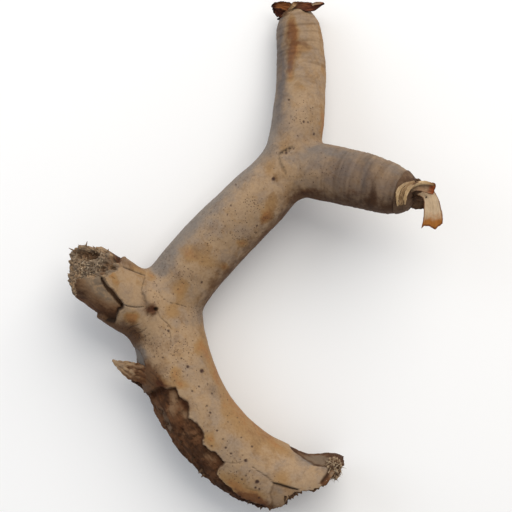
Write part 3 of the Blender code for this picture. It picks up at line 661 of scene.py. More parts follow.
    # Painted shade, painted blue sky light and painted warm light by the way each side faces; bared wood keeps
    # less of the painted shade.
    for kind, way in paintedLightByFacing.items():
        facing = normals.reshape(-1, 3) @ (np.array(way["facing"]) / np.linalg.norm(way["facing"]))
        paintedByFacing = way["strength"] * smoothStep(way["from"], way["to"], facing + wander)
        fields[kind] = fields[kind] + paintedByFacing * (1 - unshaded if kind == "shade" else 1)
    # Painted shade on surfaces that face downwards.
    fields["shade"] = fields["shade"] + smoothStep(0.15, -0.7, up) * 0.6 * (
        1 - 0.3 * grain(flat, 16 * mm, 23))
    fields.update(
        bare=bare, edge=edge * (0.4 + 0.6 * seen), crack=crack, spot=spots, sleek=sleek,
        strand=np.clip(strands - 0.4, 0, 1.2) / 1.2)
    return move, fields


# Old leaf scars round an arm: a shallow groove with a raised lip on its tip side, at each distance back
# from the tip.
def leafRings(points, backFromTip, rings):
    move, band, line = np.zeros(backFromTip.shape), np.zeros(backFromTip.shape), np.zeros(backFromTip.shape)
    wander = (1.1 * grain(points, 26 * mm, 24) + 0.25 * grain(points, 5 * mm, 25)) * mm
    for n, (back, depth) in enumerate(rings):
        x = (backFromTip - back * mm + wander) / mm
        uneven = 0.55 + 0.45 * grain(points, 13 * mm, 26 + n)
        move += depth * mm * uneven * (
            -0.75 * np.exp(-(x / 0.8) ** 2) + 0.5 * np.exp(-((x + 2.2) / 1.4) ** 2))
        line = np.maximum(line, uneven * np.exp(-(x / 0.75) ** 2))
        band = np.maximum(
            band, depth * (0.45 + 0.4 * uneven) * smoothStep(0.3, -0.8, x) * smoothStep(-8.5, -1, x))
    for n in range(9):
        x = (backFromTip - (5.2 * n + 3) * mm + 1.6 * wander) / mm
        line = np.maximum(
            line, 0.45 * np.exp(-(x / 0.5) ** 2) * smoothStep(-0.1, 0.5, grain(points, 11 * mm, 40 + n)))
    wrinkles = np.stack(
        [backFromTip / (4.2 * mm), points[..., 0] / (30 * mm), points[..., 2] / (30 * mm)], -1)
    band = np.maximum(band, 0.9 * smoothStep(0.0, 0.6, grain(wrinkles, 1.0, 33)))
    move += 0.12 * mm * grain(wrinkles * (2, 1, 1), 1.0, 34)
    return move, band, 0.7 * line


print("fields ready")


# The ragged break across a limb: how far a point lies beyond a plane that splinters and chips push in and
# out.
def beyondBreak(points, spec, seed):
    facing = np.array(spec["facing"]) / np.linalg.norm(spec["facing"])
    away = (points - np.array(spec["point"]) * mm - centring) @ facing
    chips = 2.0 * mm * grain(points, 13 * mm, seed) + 1.4 * mm * grain(points, 4.5 * mm, seed + 1)
    chips += 1.3 * mm * np.abs(grain(points, 2.2 * mm, seed + 2))
    return away + chips


# Where each column of a limb meets its break: the outermost length that is still on the near side of the
# break.
def breakLengths(limb, angle, spec, seed, first, last, push):
    along = np.linspace(first, last, 700)
    points, _ = ringPoints(limb, along[:, None] + 0 * angle[None], angle[None] + 0 * along[:, None])
    beyond = beyondBreak(points, spec, seed) > push(points)
    index = np.where(beyond.any(0), beyond.argmax(0), len(along) - 1)
    return along[index]


# Rings from the rim of a break in to its middle: the rim is drawn towards the middle, and the relief is
# added along the way that the break faces. The wall of bark stands level for the first few rings.
def breakRings(rim, spec, relief):
    facing = np.array(spec["facing"]) / np.linalg.norm(spec["facing"])
    middle = rim.mean(0)
    share = 1 - np.linspace(0, 1, spec["rings"] + 1)[1:-1] ** 0.9
    rings = middle + (rim[None] - middle) * share[:, None, None]
    # The rim's own raggedness fades towards the middle.
    level = ((rim - middle) @ facing)[None, :, None] * facing
    rings = rings - level * (share * (1 - share ** 3))[:, None, None]
    height, fields = relief(rings, share)
    return rings + height[..., None] * facing, middle + facing * height[-1].mean(), fields


# Places in the wood, squeezed along the limb, so that noise in them runs in long fibres.
def fibreSpace(along, angle, radius):
    return np.stack(
        [along / (16 * mm), np.cos(angle) * radius / (1.5 * mm), np.sin(angle) * radius / (1.5 * mm)], -1)


def blankFields(shape, **given):
    names = (
        "warm", "rust", "cool", "dull", "shade", "pale", "specks", "bare", "edge", "crack", "spot", "sleek",
        "strand", "band", "ring")
    return {n: np.broadcast_to(np.asarray(given.get(n, 0.0), float), shape).copy() for n in names}


# A limb's piece: its grid with a pole at each end. The normals are those of the skin before it was sunk.
def finishLimb(name, node, skin, normals, fields, startPole, endPole):
    rows, columns = skin.shape[:2]
    quads, fans = gridFaces(rows, columns), endFans(rows, columns)
    heading, tail = skin[1].mean(0) - skin[0].mean(0), skin[-1].mean(0) - skin[-2].mean(0)
    ends = np.stack([-heading / np.linalg.norm(heading), tail / np.linalg.norm(tail)])
    values = {
        key: np.append(field.ravel(), [field[0].mean(), field[-1].mean()]) for key, field in fields.items()}
    corners = np.vstack([skin.reshape(-1, 3), startPole, endPole])
    allNormals = np.vstack([normals.reshape(-1, 3), ends])
    piece = putMesh(name, corners, quads, fans, allNormals, values, [barkMaterial])
    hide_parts(node)
    print(name, len(quads) * 2 + len(fans), "triangles")

# Trunk: one grid from the lower break to the top arm's tip, parted at the two seams.
def buildTrunk():
    columns = trunkLimb["columns"]
    angle = np.arange(columns) / columns * turn

    # Bared wood stands a little beyond the bark, and the notch and the inner corner are cut back.
    def core(p):
        q = photoPlace(p)
        px, py, size, depth = lowerNotch
        notch = np.exp(
            -(
                np.hypot(q[..., 0] - px, q[..., 1] - py)
                / size) ** 4) * smoothStep(5 * mm, 14 * mm, p[..., 2])
        begins, ends, cutBack = lowerCorner
        beyond = cutBack * smoothStep(begins, ends, q[..., 0])
        return 1.5 * mm * smoothStep(
            1.5, -1.5, outlineDistance(q, bareWood["tornEnd"]["outline"])) - depth * notch - beyond

    # The break is looked for from within the stem outwards, so this stretch of it is turned end for end.
    span = 130 * mm
    near = trunk["along"] <= span
    backwards = {key: trunk[key][near][::-1] for key in ("centre", "radius", "heading")}
    backwards["along"] = span - trunk["along"][near][::-1]
    start = span - breakLengths(backwards, angle, breaks["lower"], 50, 0.0, span, core)
    first = start.min()
    steps = trunkLimb["rowStep"]
    lower = np.linspace(first, middleSeam, int((middleSeam - first) / (steps[0] * mm)))
    middle = np.linspace(middleSeam, topSeam, int((topSeam - middleSeam) / (steps[1] * mm)))
    top = np.linspace(
        topSeam, trunk["length"] - 0.3 * mm, int((trunk["length"] - topSeam) / (steps[2] * mm)))
    rows = np.concatenate([lower, middle[1:], top[1:]])
    ease = np.clip(1 - (rows - first) / (110 * mm), 0, 1)[:, None]
    along = rows[:, None] + (start - first)[None] * ease
    theta = angle[None] + 0 * along
    # The broken end flares on its inner side, where the stem split from its neighbour.
    flare = lowerFlare["size"] * smoothStep(first + lowerFlare["from"], first + lowerFlare["full"], along)
    flare *= smoothStep(0.15, 0.95, np.cos(theta - math.radians(lowerFlare["towards"])))
    base, outward = ringPoints(trunk, along, theta, flare)
    base, normal, beyondStub = uniteWith(
        base, outward, trunk, stub, firstSpan, stubSpan, forkBlend["stub"], stubNear)
    nearSide = np.linalg.norm(base - sideNear, axis=-1) < forkBlend["reach"]
    united, unitedNormal, beyondSide = uniteWith(
        base, outward, trunk, side, secondSpan, sideSpan, forkBlend["side"], sideNear)
    base = np.where(nearSide[..., None], united, base)
    normal = np.where(nearSide[..., None], unitedNormal, normal)
    radius = np.interp(along, trunk["along"], trunk["radius"])
    move, fields = workedSkin(base, normal, fibreSpace(along, theta, radius).reshape(-1, 3))
    ringMove, band, line = leafRings(base, trunk["length"] - along, trunkLimb["rings"])
    onArm = smoothStep(95 * mm, 60 * mm, trunk["length"] - along)
    move = move.reshape(along.shape) + ringMove * onArm
    fields = {k: v.reshape(along.shape) for k, v in fields.items()}
    fields.update(band=band * onArm, ring=line * onArm)
    tipCalm = smoothStep(0, 6 * mm, trunk["length"] - along)
    points = base + (move * tipCalm)[..., None] * normal
    points[..., 2] = np.maximum(points[..., 2], 0.15 * mm)
    sunk = forkBlend["sink"] * smoothStep(0, 7 * mm, np.maximum(beyondStub, beyondSide))
    hidden = points - sunk[..., None] * outward

    # The broken end: ridges of fibre in a shallow bowl, inside a level wall of bark with a groove beside
    # it.
    def relief(rings, share):
        rimGap = (1 - share)[:, None] * np.linalg.norm(rings[0] - rings[-1].mean(0), axis=-1)[None]
        inner = smoothStep(2.0 * mm, 4.0 * mm, rimGap)
        coarse, thin = np.abs(grain(rings, 3.6 * mm, 60)), np.abs(grain(rings, 1.8 * mm, 62))
        fibres = coarse * 4.4 * mm + grain(rings, 9 * mm, 61) * 2.6 * mm + thin * 1.8 * mm
        # Crevices between the fibres and the groove beside the wall are darkened through the edge field: painted
        # shade.
        crevice = np.maximum(smoothStep(0.16, 0.02, coarse), 0.7 * smoothStep(0.14, 0.0, thin)) * inner
        bowl = -4.5 * mm * smoothStep(0.0, 0.6, 1 - share)[:, None]
        height = inner * (fibres + bowl) - 1.2 * mm * np.exp(-((rimGap - 3.2 * mm) / (0.8 * mm)) ** 2)
        tone = 0.5 + 0.5 * grain(rings, 7 * mm, 63)
        return height, blankFields(
            height.shape, bare=1.0, pale=0.75 * tone * inner, shade=0.1,
            strand=0.5 + 0.4 * grain(rings, 2.2 * mm, 64),
            edge=np.maximum(0.8 * np.exp(-((rimGap - 3.4 * mm) / (1.2 * mm)) ** 2), 0.7 * crevice))

    rings, pole, ringFields = breakRings(points[0], breaks["lower"], relief)
    rings[..., 2] = np.maximum(rings[..., 2], 0.3 * mm)
    wholePoints = np.concatenate([rings[::-1], points])
    wholeHidden = np.concatenate([rings[::-1], hidden])
    whole = {k: np.concatenate([ringFields[k][::-1], fields[k]]) for k in ringFields}
    normals = gridNormals(wholePoints, gridFaces(len(wholePoints), columns)).reshape(wholePoints.shape)
    seams = 0, len(rings) + len(lower) - 1, len(rings) + len(lower) + len(middle) - 2, len(wholePoints) - 1
    nodes = ("lowerStemBark", "lower_stem"), ("middleStemBark", "middle_stem"), ("topArmBark", "top_arm")
    for (name, node), a, b in zip(nodes, seams[:-1], seams[1:]):
        part, values = wholeHidden[a:b + 1], {key: field[a:b + 1] for key, field in whole.items()}
        startPole = part[6].mean(0) if a else pole
        endPole = part[-7].mean(0) if b < seams[-1] else part[-1].mean(0)
        finishLimb(name, node, part, normals[a:b + 1], values, startPole, endPole)
    return hidden[:len(lower)].reshape(-1, 3)


# Side arm: a grid from inside the second fork to its tip.
def buildSideArm():
    columns = sideLimb["columns"]
    angle = np.arange(columns) / columns * turn
    rows = np.linspace(2 * mm, side["length"] - 0.3 * mm, int(side["length"] / (sideLimb["rowStep"] * mm)))
    along = rows[:, None] + 0 * angle[None]
    theta = angle[None] + 0 * along
    base, outward = ringPoints(side, along, theta)
    base, normal, beyond = uniteWith(
        base, outward, side, trunk, sideSpan, secondSpan, forkBlend["side"], sideNear)
    radius = np.interp(along, side["along"], side["radius"])
    move, fields = workedSkin(base, normal, fibreSpace(along, theta, radius).reshape(-1, 3))
    ringMove, band, line = leafRings(base, side["length"] - along, sideLimb["rings"])
    onArm = smoothStep(92 * mm, 72 * mm, side["length"] - along)
    move = move.reshape(along.shape) + ringMove * onArm
    fields = {k: v.reshape(along.shape) for k, v in fields.items()}
    fields.update(band=band * onArm, ring=line * onArm)
    tipCalm = smoothStep(0, 6 * mm, side["length"] - along)
    points = base + (move * tipCalm)[..., None] * normal
    hidden = points - (forkBlend["sink"] * smoothStep(0, 7 * mm, beyond))[..., None] * outward
    normals = gridNormals(points, gridFaces(*along.shape))
    finishLimb("sideArmBark", "side_arm", hidden, normals, fields, hidden[0].mean(0), hidden[-1].mean(0))


# Stub: a grid from inside the first fork to its break, then rings over the broken face.
stubBreak = {
    "pit": (88.5, 255.5, 11.5, 5.6, 9.0 * mm),  # middle and half-sizes in the photograph, depth
    "hollow": [
        (100, 275.5), (98.5, 268), (104, 263), (112, 256), (119.5, 255.5), (121, 261), (113.5, 265.5),
        (115, 269.5), (108, 271), (104.2, 275),
    ],
    "hollowDepth": 5.0 * mm,
    "slant": (94, 99),  # pixels across between which the fibres begin to slant
    "inner": [
        (72, 262), (73.5, 254), (79, 249.5), (88, 248), (95, 251), (104, 248.5), (110, 250.5), (112, 256),
        (108, 264), (101, 271), (94, 273.5), (75, 274),
    ],
}


def buildStub():
    columns = stubLimb["columns"]
    angle = np.arange(columns) / columns * turn
    degrees, reach = zip(*stubLimb["rim"])
    atBreak = alongAt(stub, -147, -13, 60) + np.interp(np.degrees(angle), degrees, reach) * mm
    edge, _ = ringPoints(stub, atBreak, angle)
    end = atBreak + 1.3 * mm * grain(edge, 7 * mm, 70) + 1.6 * mm * grain(edge, 2.6 * mm, 71)
    last = end.max()
    rows = np.linspace(2 * mm, last, int(last / (stubLimb["rowStep"] * mm)))
    ease = np.clip((rows - (last - 42 * mm)) / (42 * mm), 0, 1)[:, None]
    along = rows[:, None] + (end - last)[None] * ease
    theta = angle[None] + 0 * along
    base, outward = ringPoints(stub, along, theta)
    base, normal, beyond = uniteWith(
        base, outward, stub, trunk, stubSpan, firstSpan, forkBlend["stub"], stubNear)
    radius = np.interp(along, stub["along"], stub["radius"])
    move, fields = workedSkin(base, normal, fibreSpace(along, theta, radius).reshape(-1, 3))
    fields = {k: v.reshape(along.shape) for k, v in fields.items()}
    fields.update(band=0 * along, ring=0 * along)
    points = base + move.reshape(along.shape)[..., None] * normal
    hidden = points - (forkBlend["sink"] * smoothStep(0, 7 * mm, beyond))[..., None] * outward

    def relief(rings, share):
        q = photoPlace(rings)
        inner = smoothStep(0.0, 0.06, 1 - share)[:, None] + 0 * rings[..., 0]
        px, py, a, b, depth = stubBreak["pit"]
        warp = 1.6 * grain(rings, 4 * mm, 80)
        pit = smoothStep(1.25, 0.55, np.hypot((q[..., 0] - px) / a, (q[..., 1] - py) / b) + 0.13 * warp)
        hollow = smoothStep(1.0, -1.0, outlineDistance(q + warp[..., None] * 0.6, stubBreak["hollow"]))
        coarse, thin = np.abs(
            grain(rings * (1.0, 1.0, 0.5), 3.4 * mm, 81)), np.abs(grain(rings, 1.7 * mm, 83))
        strands = coarse * 4.6 * mm + grain(rings, 7.5 * mm, 82) * 1.8 * mm + thin * 1.8 * mm
        crevice = np.maximum(smoothStep(0.16, 0.02, coarse), 0.7 * smoothStep(0.14, 0.0, thin)) * inner
        height = inner * (strands - depth * pit - stubBreak["hollowDepth"] * hollow)
        pale = smoothStep(0.2, 0.8, 0.5 + 0.6 * grain(rings, 4.5 * mm, 84)) * (1 - pit)
        strand = 0.5 + 0.5 * grain(rings, 2.0 * mm, 85)
        # The pit, the hollow and the crevices are darkened: painted shade.
        dark = np.maximum(0.7 * pit, 0.7 * hollow) * inner
        return height, blankFields(
            height.shape, bare=1.0, pale=(0.9 * pale + 1.0) * (1 - 0.7 * dark), strand=strand,
            shade=0.35 * dark, edge=np.maximum(0.35 * dark, 0.75 * crevice))

    rings, pole, ringFields = breakRings(points[-1], breaks["stub"], relief)
    whole = {k: np.concatenate([fields[k], ringFields[k]]) for k in ringFields}
    wholePoints, wholeHidden = np.concatenate([points, rings]), np.concatenate([hidden, rings])
    normals = gridNormals(wholePoints, gridFaces(*wholePoints.shape[:2]))
    finishLimb("stubBark", "broken_stub", wholeHidden, normals, whole, hidden[0].mean(0), pole)
    return wholeHidden.reshape(-1, 3), rings


# Shader maths: a field wraps one socket, and + - * on it add Math nodes.
class Field:
    def __init__(self, sheet, socket):
        self.sheet, self.socket = sheet, socket

    def __add__(self, other):
        return self.sheet.maths("ADD", self, other)

    def __sub__(self, other):
        return self.sheet.maths("SUBTRACT", self, other)

    def __rsub__(self, other):
        return self.sheet.maths("SUBTRACT", other, self)

    def __mul__(self, other):
        return self.sheet.maths("MULTIPLY", self, other)

    __radd__, __rmul__ = __add__, __mul__


class Finish:
    def __init__(self, name):
        self.material = bpy.data.materials.new(name)
        self.material.use_nodes = True
        self.tree = self.material.node_tree
        self.tree.nodes.clear()
        self.shader = self.tree.nodes.new("ShaderNodeBsdfPrincipled")
        out = self.tree.nodes.new("ShaderNodeOutputMaterial")
        self.tree.links.new(self.shader.outputs[0], out.inputs[0])

    # Any node: its type, its settings, then the values or links of its sockets by name or number.
    def node(self, kind, settings, sockets, output=0):
        made = self.tree.nodes.new("ShaderNode" + kind)
        for key, value in settings.items():
            if key == "stops":
                ramp = made.color_ramp.elements
                while len(ramp) < len(value):
                    ramp.new(0.5)
                for stop, (place, colour) in zip(ramp, value):
                    stop.position, stop.color = place, (*colour, 1)
            else:
                setattr(made, key, value)
        for key, value in sockets.items():
            self.set(made.inputs[key], value)
        return Field(self, made.outputs[output])

    def set(self, socket, value):
        if isinstance(value, Field):
            self.tree.links.new(value.socket, socket)
        else:
            socket.default_value = value

    def maths(self, operation, a, b=0.0, clamp=False):
        return self.node("Math", {"operation": operation, "use_clamp": clamp}, {0: a, 1: b})

    def clamp(self, a):
        return self.maths("ADD", a, 0.0, True)

    def step(self, value, low, high):
        return self.node(
            "MapRange", {"interpolation_type": "SMOOTHSTEP"},
            {"Value": value, "From Min": low, "From Max": high})

    def mix(self, share, a, b, way="MIX"):
        a, b = (v if isinstance(v, Field) else (*v, 1) for v in (a, b))
        return self.node(
            "Mix", {"data_type": "RGBA", "blend_type": way, "clamp_factor": True}, {0: share, 6: a, 7: b},
            2)

    def place(self, scale=(1, 1, 1), turned=(0, 0, 0)):
        coordinates = self.node("TexCoord", {}, {}, 3)
        return self.node("Mapping", {}, {"Vector": coordinates, "Scale": scale, "Rotation": turned})

    def noise(self, where, scale, detail=3.0, rough=0.5, distort=0.0):
        return self.node(
            "TexNoise", {},
            {"Vector": where, "Scale": scale, "Detail": detail, "Roughness": rough, "Distortion": distort})

    def field(self, name):
        return self.node("Attribute", {"attribute_name": name}, {}, 2)

    def close(self, colour, roughness, height, bump, **constants):
        self.set(self.shader.inputs["Base Color"], colour)
        self.set(self.shader.inputs["Roughness"], roughness)
        for key, value in constants.items():
            self.shader.inputs[key].default_value = value
        if height is not None:
            normal = self.node("Bump", {}, {"Strength": bump, "Distance": 0.0006, "Height": height})
            self.set(self.shader.inputs["Normal"], normal)
        return self.material


# Linear colours of the bark and of the wood beneath it.
barkTones = {
    "tan": (0.302, 0.205, 0.121),
    "sand": (0.340, 0.227, 0.130),
    "lilac": (0.270, 0.194, 0.133),
    "ochre": (0.295, 0.168, 0.066),
    "orange": (0.305, 0.138, 0.044),
    "rust": (0.160, 0.060, 0.017),
    "blueGrey": (0.170, 0.152, 0.138),
    "sleek": (0.135, 0.115, 0.100),
    "dulled": (0.58, 0.57, 0.62),
    # 'shaded' is the multiplier for painted shade; 'crackDark' is painted shade in cracks, creases and the knot's
    # pit; 'woodDark' is the wood's darkest tone, also used for painted shade at bark walls, gaps and crevices.
    "shaded": (0.34, 0.235, 0.165),
    "ringed": (0.70, 0.66, 0.62),
    "spotDark": (0.050, 0.024, 0.017),
    "crackDark": (0.022, 0.011, 0.006),
    "woodDark": (0.052, 0.021, 0.008),
    "woodBrown": (0.115, 0.047, 0.018),
    "woodMid": (0.200, 0.115, 0.060),
    "woodPale": (0.310, 0.205, 0.118),
    "woodGrey": (0.180, 0.132, 0.090),
}


def makeBark():
    f = Finish("barkFinish")
    t = barkTones
    where = f.place()
    broad = f.noise(where, 20, 3, 0.55, 0.4)
    patchy = f.noise(where, 60, 4, 0.6, 0.6)
    blotch = f.noise(f.place(turned=(0.4, 0.2, 0.9)), 90, 4, 0.6, 0.5)
    fine = f.noise(where, 420, 4, 0.65)
    dust = f.noise(where, 1500, 3, 0.7)
    warm, rust, cool, dull = (f.field(n) for n in ("warm", "rust", "cool", "dull"))
    shade, pale, specks = (f.field(n) for n in ("shade", "pale", "specks"))
    bare, edge, crack, spot = (f.field(n) for n in ("bare", "edge", "crack", "spot"))
    band, ring, strand, sleek = (f.field(n) for n in ("band", "ring", "strand", "sleek"))
    uneven = 0.7 * (blotch - 0.5) + 0.6 * (patchy - 0.5) + 0.35 * (fine - 0.5)
    colour = f.mix(f.step(broad, 0.38, 0.62), t["tan"], t["sand"])
    colour = f.mix(f.step(patchy, 0.42, 0.66) * 0.75, colour, t["lilac"])
    colour = f.mix(f.step(blotch, 0.47, 0.68) * 0.50, colour, t["ochre"])
    # Ochre and orange: the bark's own patches, and painted warm light on sides facing +x.
    colour = f.mix(f.clamp(f.step(warm + uneven, 0.15, 0.85) * 0.85), colour, t["ochre"])
    colour = f.mix(f.clamp(f.step(warm + uneven, 0.80, 1.5) * 0.80), colour, t["orange"])
    colour = f.mix(f.clamp(f.step(rust + uneven, 0.10, 0.85) * 0.92), colour, t["rust"])
    # Blue-grey: the bark's own grey patches, and painted blue sky and fill light on sides facing -x and +y.
    colour = f.mix(
        f.clamp(f.step(cool + uneven + 0.4 * (broad - 0.5), -0.1, 1.4) * 0.80), colour, t["blueGrey"])
    colour = f.mix(f.clamp(dull + 0.5 * uneven), colour, f.mix(1.0, colour, t["dulled"], "MULTIPLY"))
    colour = f.mix(f.clamp(0.9 * band + ring), colour, f.mix(1.0, colour, t["ringed"], "MULTIPLY"))
    colour = f.mix(
        0.45 * f.step(fine, 0.42, 0.62), colour, f.mix(1.0, colour, (0.80, 0.76, 0.72), "MULTIPLY"))
    colour = f.mix(
        0.25 * f.step(dust, 0.5, 0.7), colour, f.mix(1.0, colour, (1.15, 1.15, 1.15), "MULTIPLY"))
    # Small corky specks: the middles of scattered cells, only in some cells.
    cells = f.node("TexVoronoi", {"feature": "F1"}, {"Vector": where, "Scale": 290.0, "Randomness": 1.0})
    cellPick = f.node(
        "TexVoronoi", {"feature": "F1"}, {"Vector": where, "Scale": 290.0, "Randomness": 1.0}, 1)
    pick = f.node("SeparateColor", {}, {0: cellPick})
    size = 0.05 + 0.15 * pick
    dots = f.step(cells, size + 0.05, size * 0.5) * f.step(pick + 0.22 * specks, 0.84, 0.98)
    tiny = f.node("TexVoronoi", {"feature": "F1"}, {"Vector": where, "Scale": 620.0, "Randomness": 1.0})
    tinyPick = f.node(
        "SeparateColor", {},
        {0: f.node("TexVoronoi", {}, {"Vector": where, "Scale": 620.0, "Randomness": 1.0}, 1)})
    peppery = f.step(tiny, 0.42, 0.20) * f.step(tinyPick + 0.55 * specks + 0.6 * (blotch - 0.5), 0.90, 1.05)
    marks = f.clamp(dots * 0.75 + peppery * 0.75)
    colour = f.mix(marks * (1 - bare), colour, t["spotDark"])
    colour = f.mix(f.clamp(spot), colour, t["spotDark"])
    # Bare wood: coarse stains, with the fibres' own relief over them.
    streak = f.noise(where, 240, 5, 0.7, 1.2)
    grained = 0.30 * strand + 0.70 * streak
    wood = f.mix(f.step(0.75 * patchy + 0.25 * grained, 0.42, 0.58), t["woodDark"], t["woodBrown"])
    wood = f.mix(f.clamp(f.step(pale + 0.6 * (grained - 0.5) + uneven, 0.05, 0.60)), wood, t["woodMid"])
    wood = f.mix(
        f.clamp(f.step(pale + 0.7 * (grained - 0.5), 0.45, 1.10)), wood,
        f.mix(f.step(blotch, 0.42, 0.60), t["woodGrey"], t["woodPale"]))
    wood = f.mix(f.clamp(0.75 * f.step(cool + 1.5 * uneven, 0.45, 1.7)), wood, t["woodGrey"])
    colour = f.mix(f.clamp(bare), colour, wood)
    # Painted shade: the shade field darkens the colour on sides facing down and -y, in shaded patches and in
    # pits, and in a few places marks the bark's own darker brown.
    colour = f.mix(
        f.clamp(f.step(shade + 0.9 * uneven + 0.3 * (broad - 0.5), -0.05, 1.1)), colour,
        f.mix(1.0, colour, t["shaded"], "MULTIPLY"))
    colour = f.mix(f.clamp(sleek * f.step(patchy + 0.3 * fine, 0.35, 0.70)), colour, t["sleek"])
    # Painted shade at the foot of bark walls, in gaps and crevices (edge), and in cracks, creases and the knot's
    # pit (crack); some crack lines are real dirt.
    colour = f.mix(f.clamp(0.80 * edge), colour, t["woodDark"])
    colour = f.mix(f.clamp(crack), colour, t["crackDark"])
    height = 0.9 * fine + 0.35 * dust - 1.4 * marks + bare * (1.6 * streak)
    roughness = f.clamp(0.56 + 0.14 * fine + 0.22 * bare + 0.08 * shade)
    return f.close(colour, roughness, height, 0.35, **{"Specular IOR Level": 0.18})


# A papery sheet: stations down its middle are splined, and across it the section is an arc that dips by cup
# times the half-width. Its edges are torn by noise, its face is creased, and its side edges roll by the
# curl.
def paperSheet(name, spec):
    rows, columns = spec.get("grid", (84, 44))
    line = splineOf([
        (*fromPhoto(px, py, height * mm), halfWidth * mm, math.radians(roll), cup)
        for px, py, height, halfWidth, roll, cup in spec["stations"]], rows)
    centre, halfWidth, roll, cup = line[:, :3], line[:, 3], line[:, 4], line[:, 5]
    heading = np.gradient(centre, axis=0)
    heading /= np.linalg.norm(heading, axis=1)[:, None]
    level = np.cross(heading, (0, 0, 1))
    level /= np.linalg.norm(level, axis=1)[:, None]
    upward = np.cross(level, heading)
    across = np.cos(roll)[:, None] * level + np.sin(roll)[:, None] * upward
    lift = np.cos(roll)[:, None] * upward - np.sin(roll)[:, None] * level
    u, v = np.meshgrid(np.linspace(0, 1, rows), np.linspace(-1, 1, columns), indexing="ij")
    seed = spec["seed"]
    where = np.stack([u * 5, v * 2.2, 0 * u + seed], -1)
    ragged = grain(where * 1.4, 1.0, seed) + 0.6 * grain(where * 3.6, 1.0, seed + 1)
    width = halfWidth[:, None] * (1 + spec.get("torn", 0.12) * np.abs(v) ** 3 * ragged)
    if "round" in spec:  # the free end is rounded over this share of the length
        width *= np.maximum(np.sqrt(1 - np.clip((u - 1) / spec["round"] + 1, 0, 1) ** 2), 0.06)
    dip = cup[:, None] * halfWidth[:, None] * v ** 2 + spec.get("curl", 0.0) * halfWidth[:, None] * np.abs(v) ** 6
    crease = spec.get("crease", 0.7) * mm * (
        grain(where, 1.0, seed + 2) + 0.5 * grain(where * 2.3, 1.0, seed + 3))
    crease += 0.16 * mm * np.sin(v * 15 + 2.5 * grain(where, 1.0, seed + 4))
    points = centre[:, None] + (v * width)[..., None] * across[:, None]
    points += (dip + crease * (0.3 + 0.7 * u))[..., None] * lift[:, None]
    # The free end is torn: each column goes on further or stops short.
    reach = spec.get("ragged", 0.7) * mm * (
        grain(where * (0, 2.2, 1), 1.0, seed + 5) + 0.4 * grain(where * (0, 5, 1), 1.0, seed + 6))
    if "reach" in spec:  # places across from -1 to 1, and millimetres
        reach += np.interp(v, *zip(*spec["reach"])) * mm
    points += (reach * u ** 4)[..., None] * heading[:, None]
    rim = np.maximum(np.abs(v) ** (8 - 4 * u), smoothStep(0.92, 1.0, u))
    fields = {
        "along": u, "across": v, "rim": rim + 0.15 * grain(where * 2, 1.0, seed + 7),
        "tone": 0.5 + 0.5 * grain(where, 1.0, seed + 8),
    }
    return thinPiece(name, points, gridFaces(rows, columns, False), fields, spec)


# A sheet that lies on a limb: its middle line, half-widths and lifts are given in the photograph, and each
# point of the grid comes down along the camera's ray until it is its lift above the skin.
def drapedSheet(name, spec, limb):
    rows, columns = spec["grid"]
    line = splineOf(spec["stations"], rows)
    heading = np.gradient(line[:, :2], axis=0)
    heading /= np.linalg.norm(heading, axis=1)[:, None]
    sideways = np.stack([-heading[:, 1], heading[:, 0]], -1)
    u, v = np.meshgrid(np.linspace(0, 1, rows), np.linspace(-1, 1, columns), indexing="ij")
    seed = spec["seed"]
    where = np.stack([u * 6, v * 1.8, 0 * u + seed], -1)
    ragged = grain(where * 1.5, 1.0, seed) + 0.7 * grain(where * 4, 1.0, seed + 1)
    q = line[:, None, :2] + (
        v * line[:, None, 2] * (1 + spec["torn"] * np.abs(v) * ragged))[..., None] * sideways[:, None]
    lift = (
        line[:, None, 3] + 0.35 * grain(where * 1.5, 1.0, seed + 2) + 0.22
        * np.sin(9 * v + 3 * grain(where, 1.0, seed + 3))) * mm
    height = np.full(u.shape, limb["centre"][:, 2].max() + 0.04)
    for _ in range(26):
        distance, _ = limbDistance(
            fromPhoto(q[..., 0], q[..., 1], height).reshape(-1, 3), limb, (0, limb["length"]))
        height = np.maximum(height - np.maximum(distance.reshape(u.shape) - lift, 0), spec["floor"] * mm)
    points = fromPhoto(q[..., 0], q[..., 1], height)
    fields = {
        "along": 0.55 * u, "across": v, "rim": np.abs(v) ** 9 + 0.2 * grain(where * 2, 1.0, seed + 4),
        "tone": 0.5 + 0.5 * grain(where, 1.0, seed + 5),
    }
    return thinPiece(name, points, gridFaces(rows, columns, False), fields, spec)


def thinPiece(name, points, faces, fields, spec):
    piece = putMesh(
        name, points, faces, None, None, fields, [leafFinishes.get(spec["finish"], barkMaterial)])
    wall = piece.modifiers.new("wall", "SOLIDIFY")
    wall.thickness, wall.offset, wall.use_even_offset = spec.get("thickness", 0.6) * mm, 0.0, False
    if "node" in spec:
        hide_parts(spec["node"])
    return piece


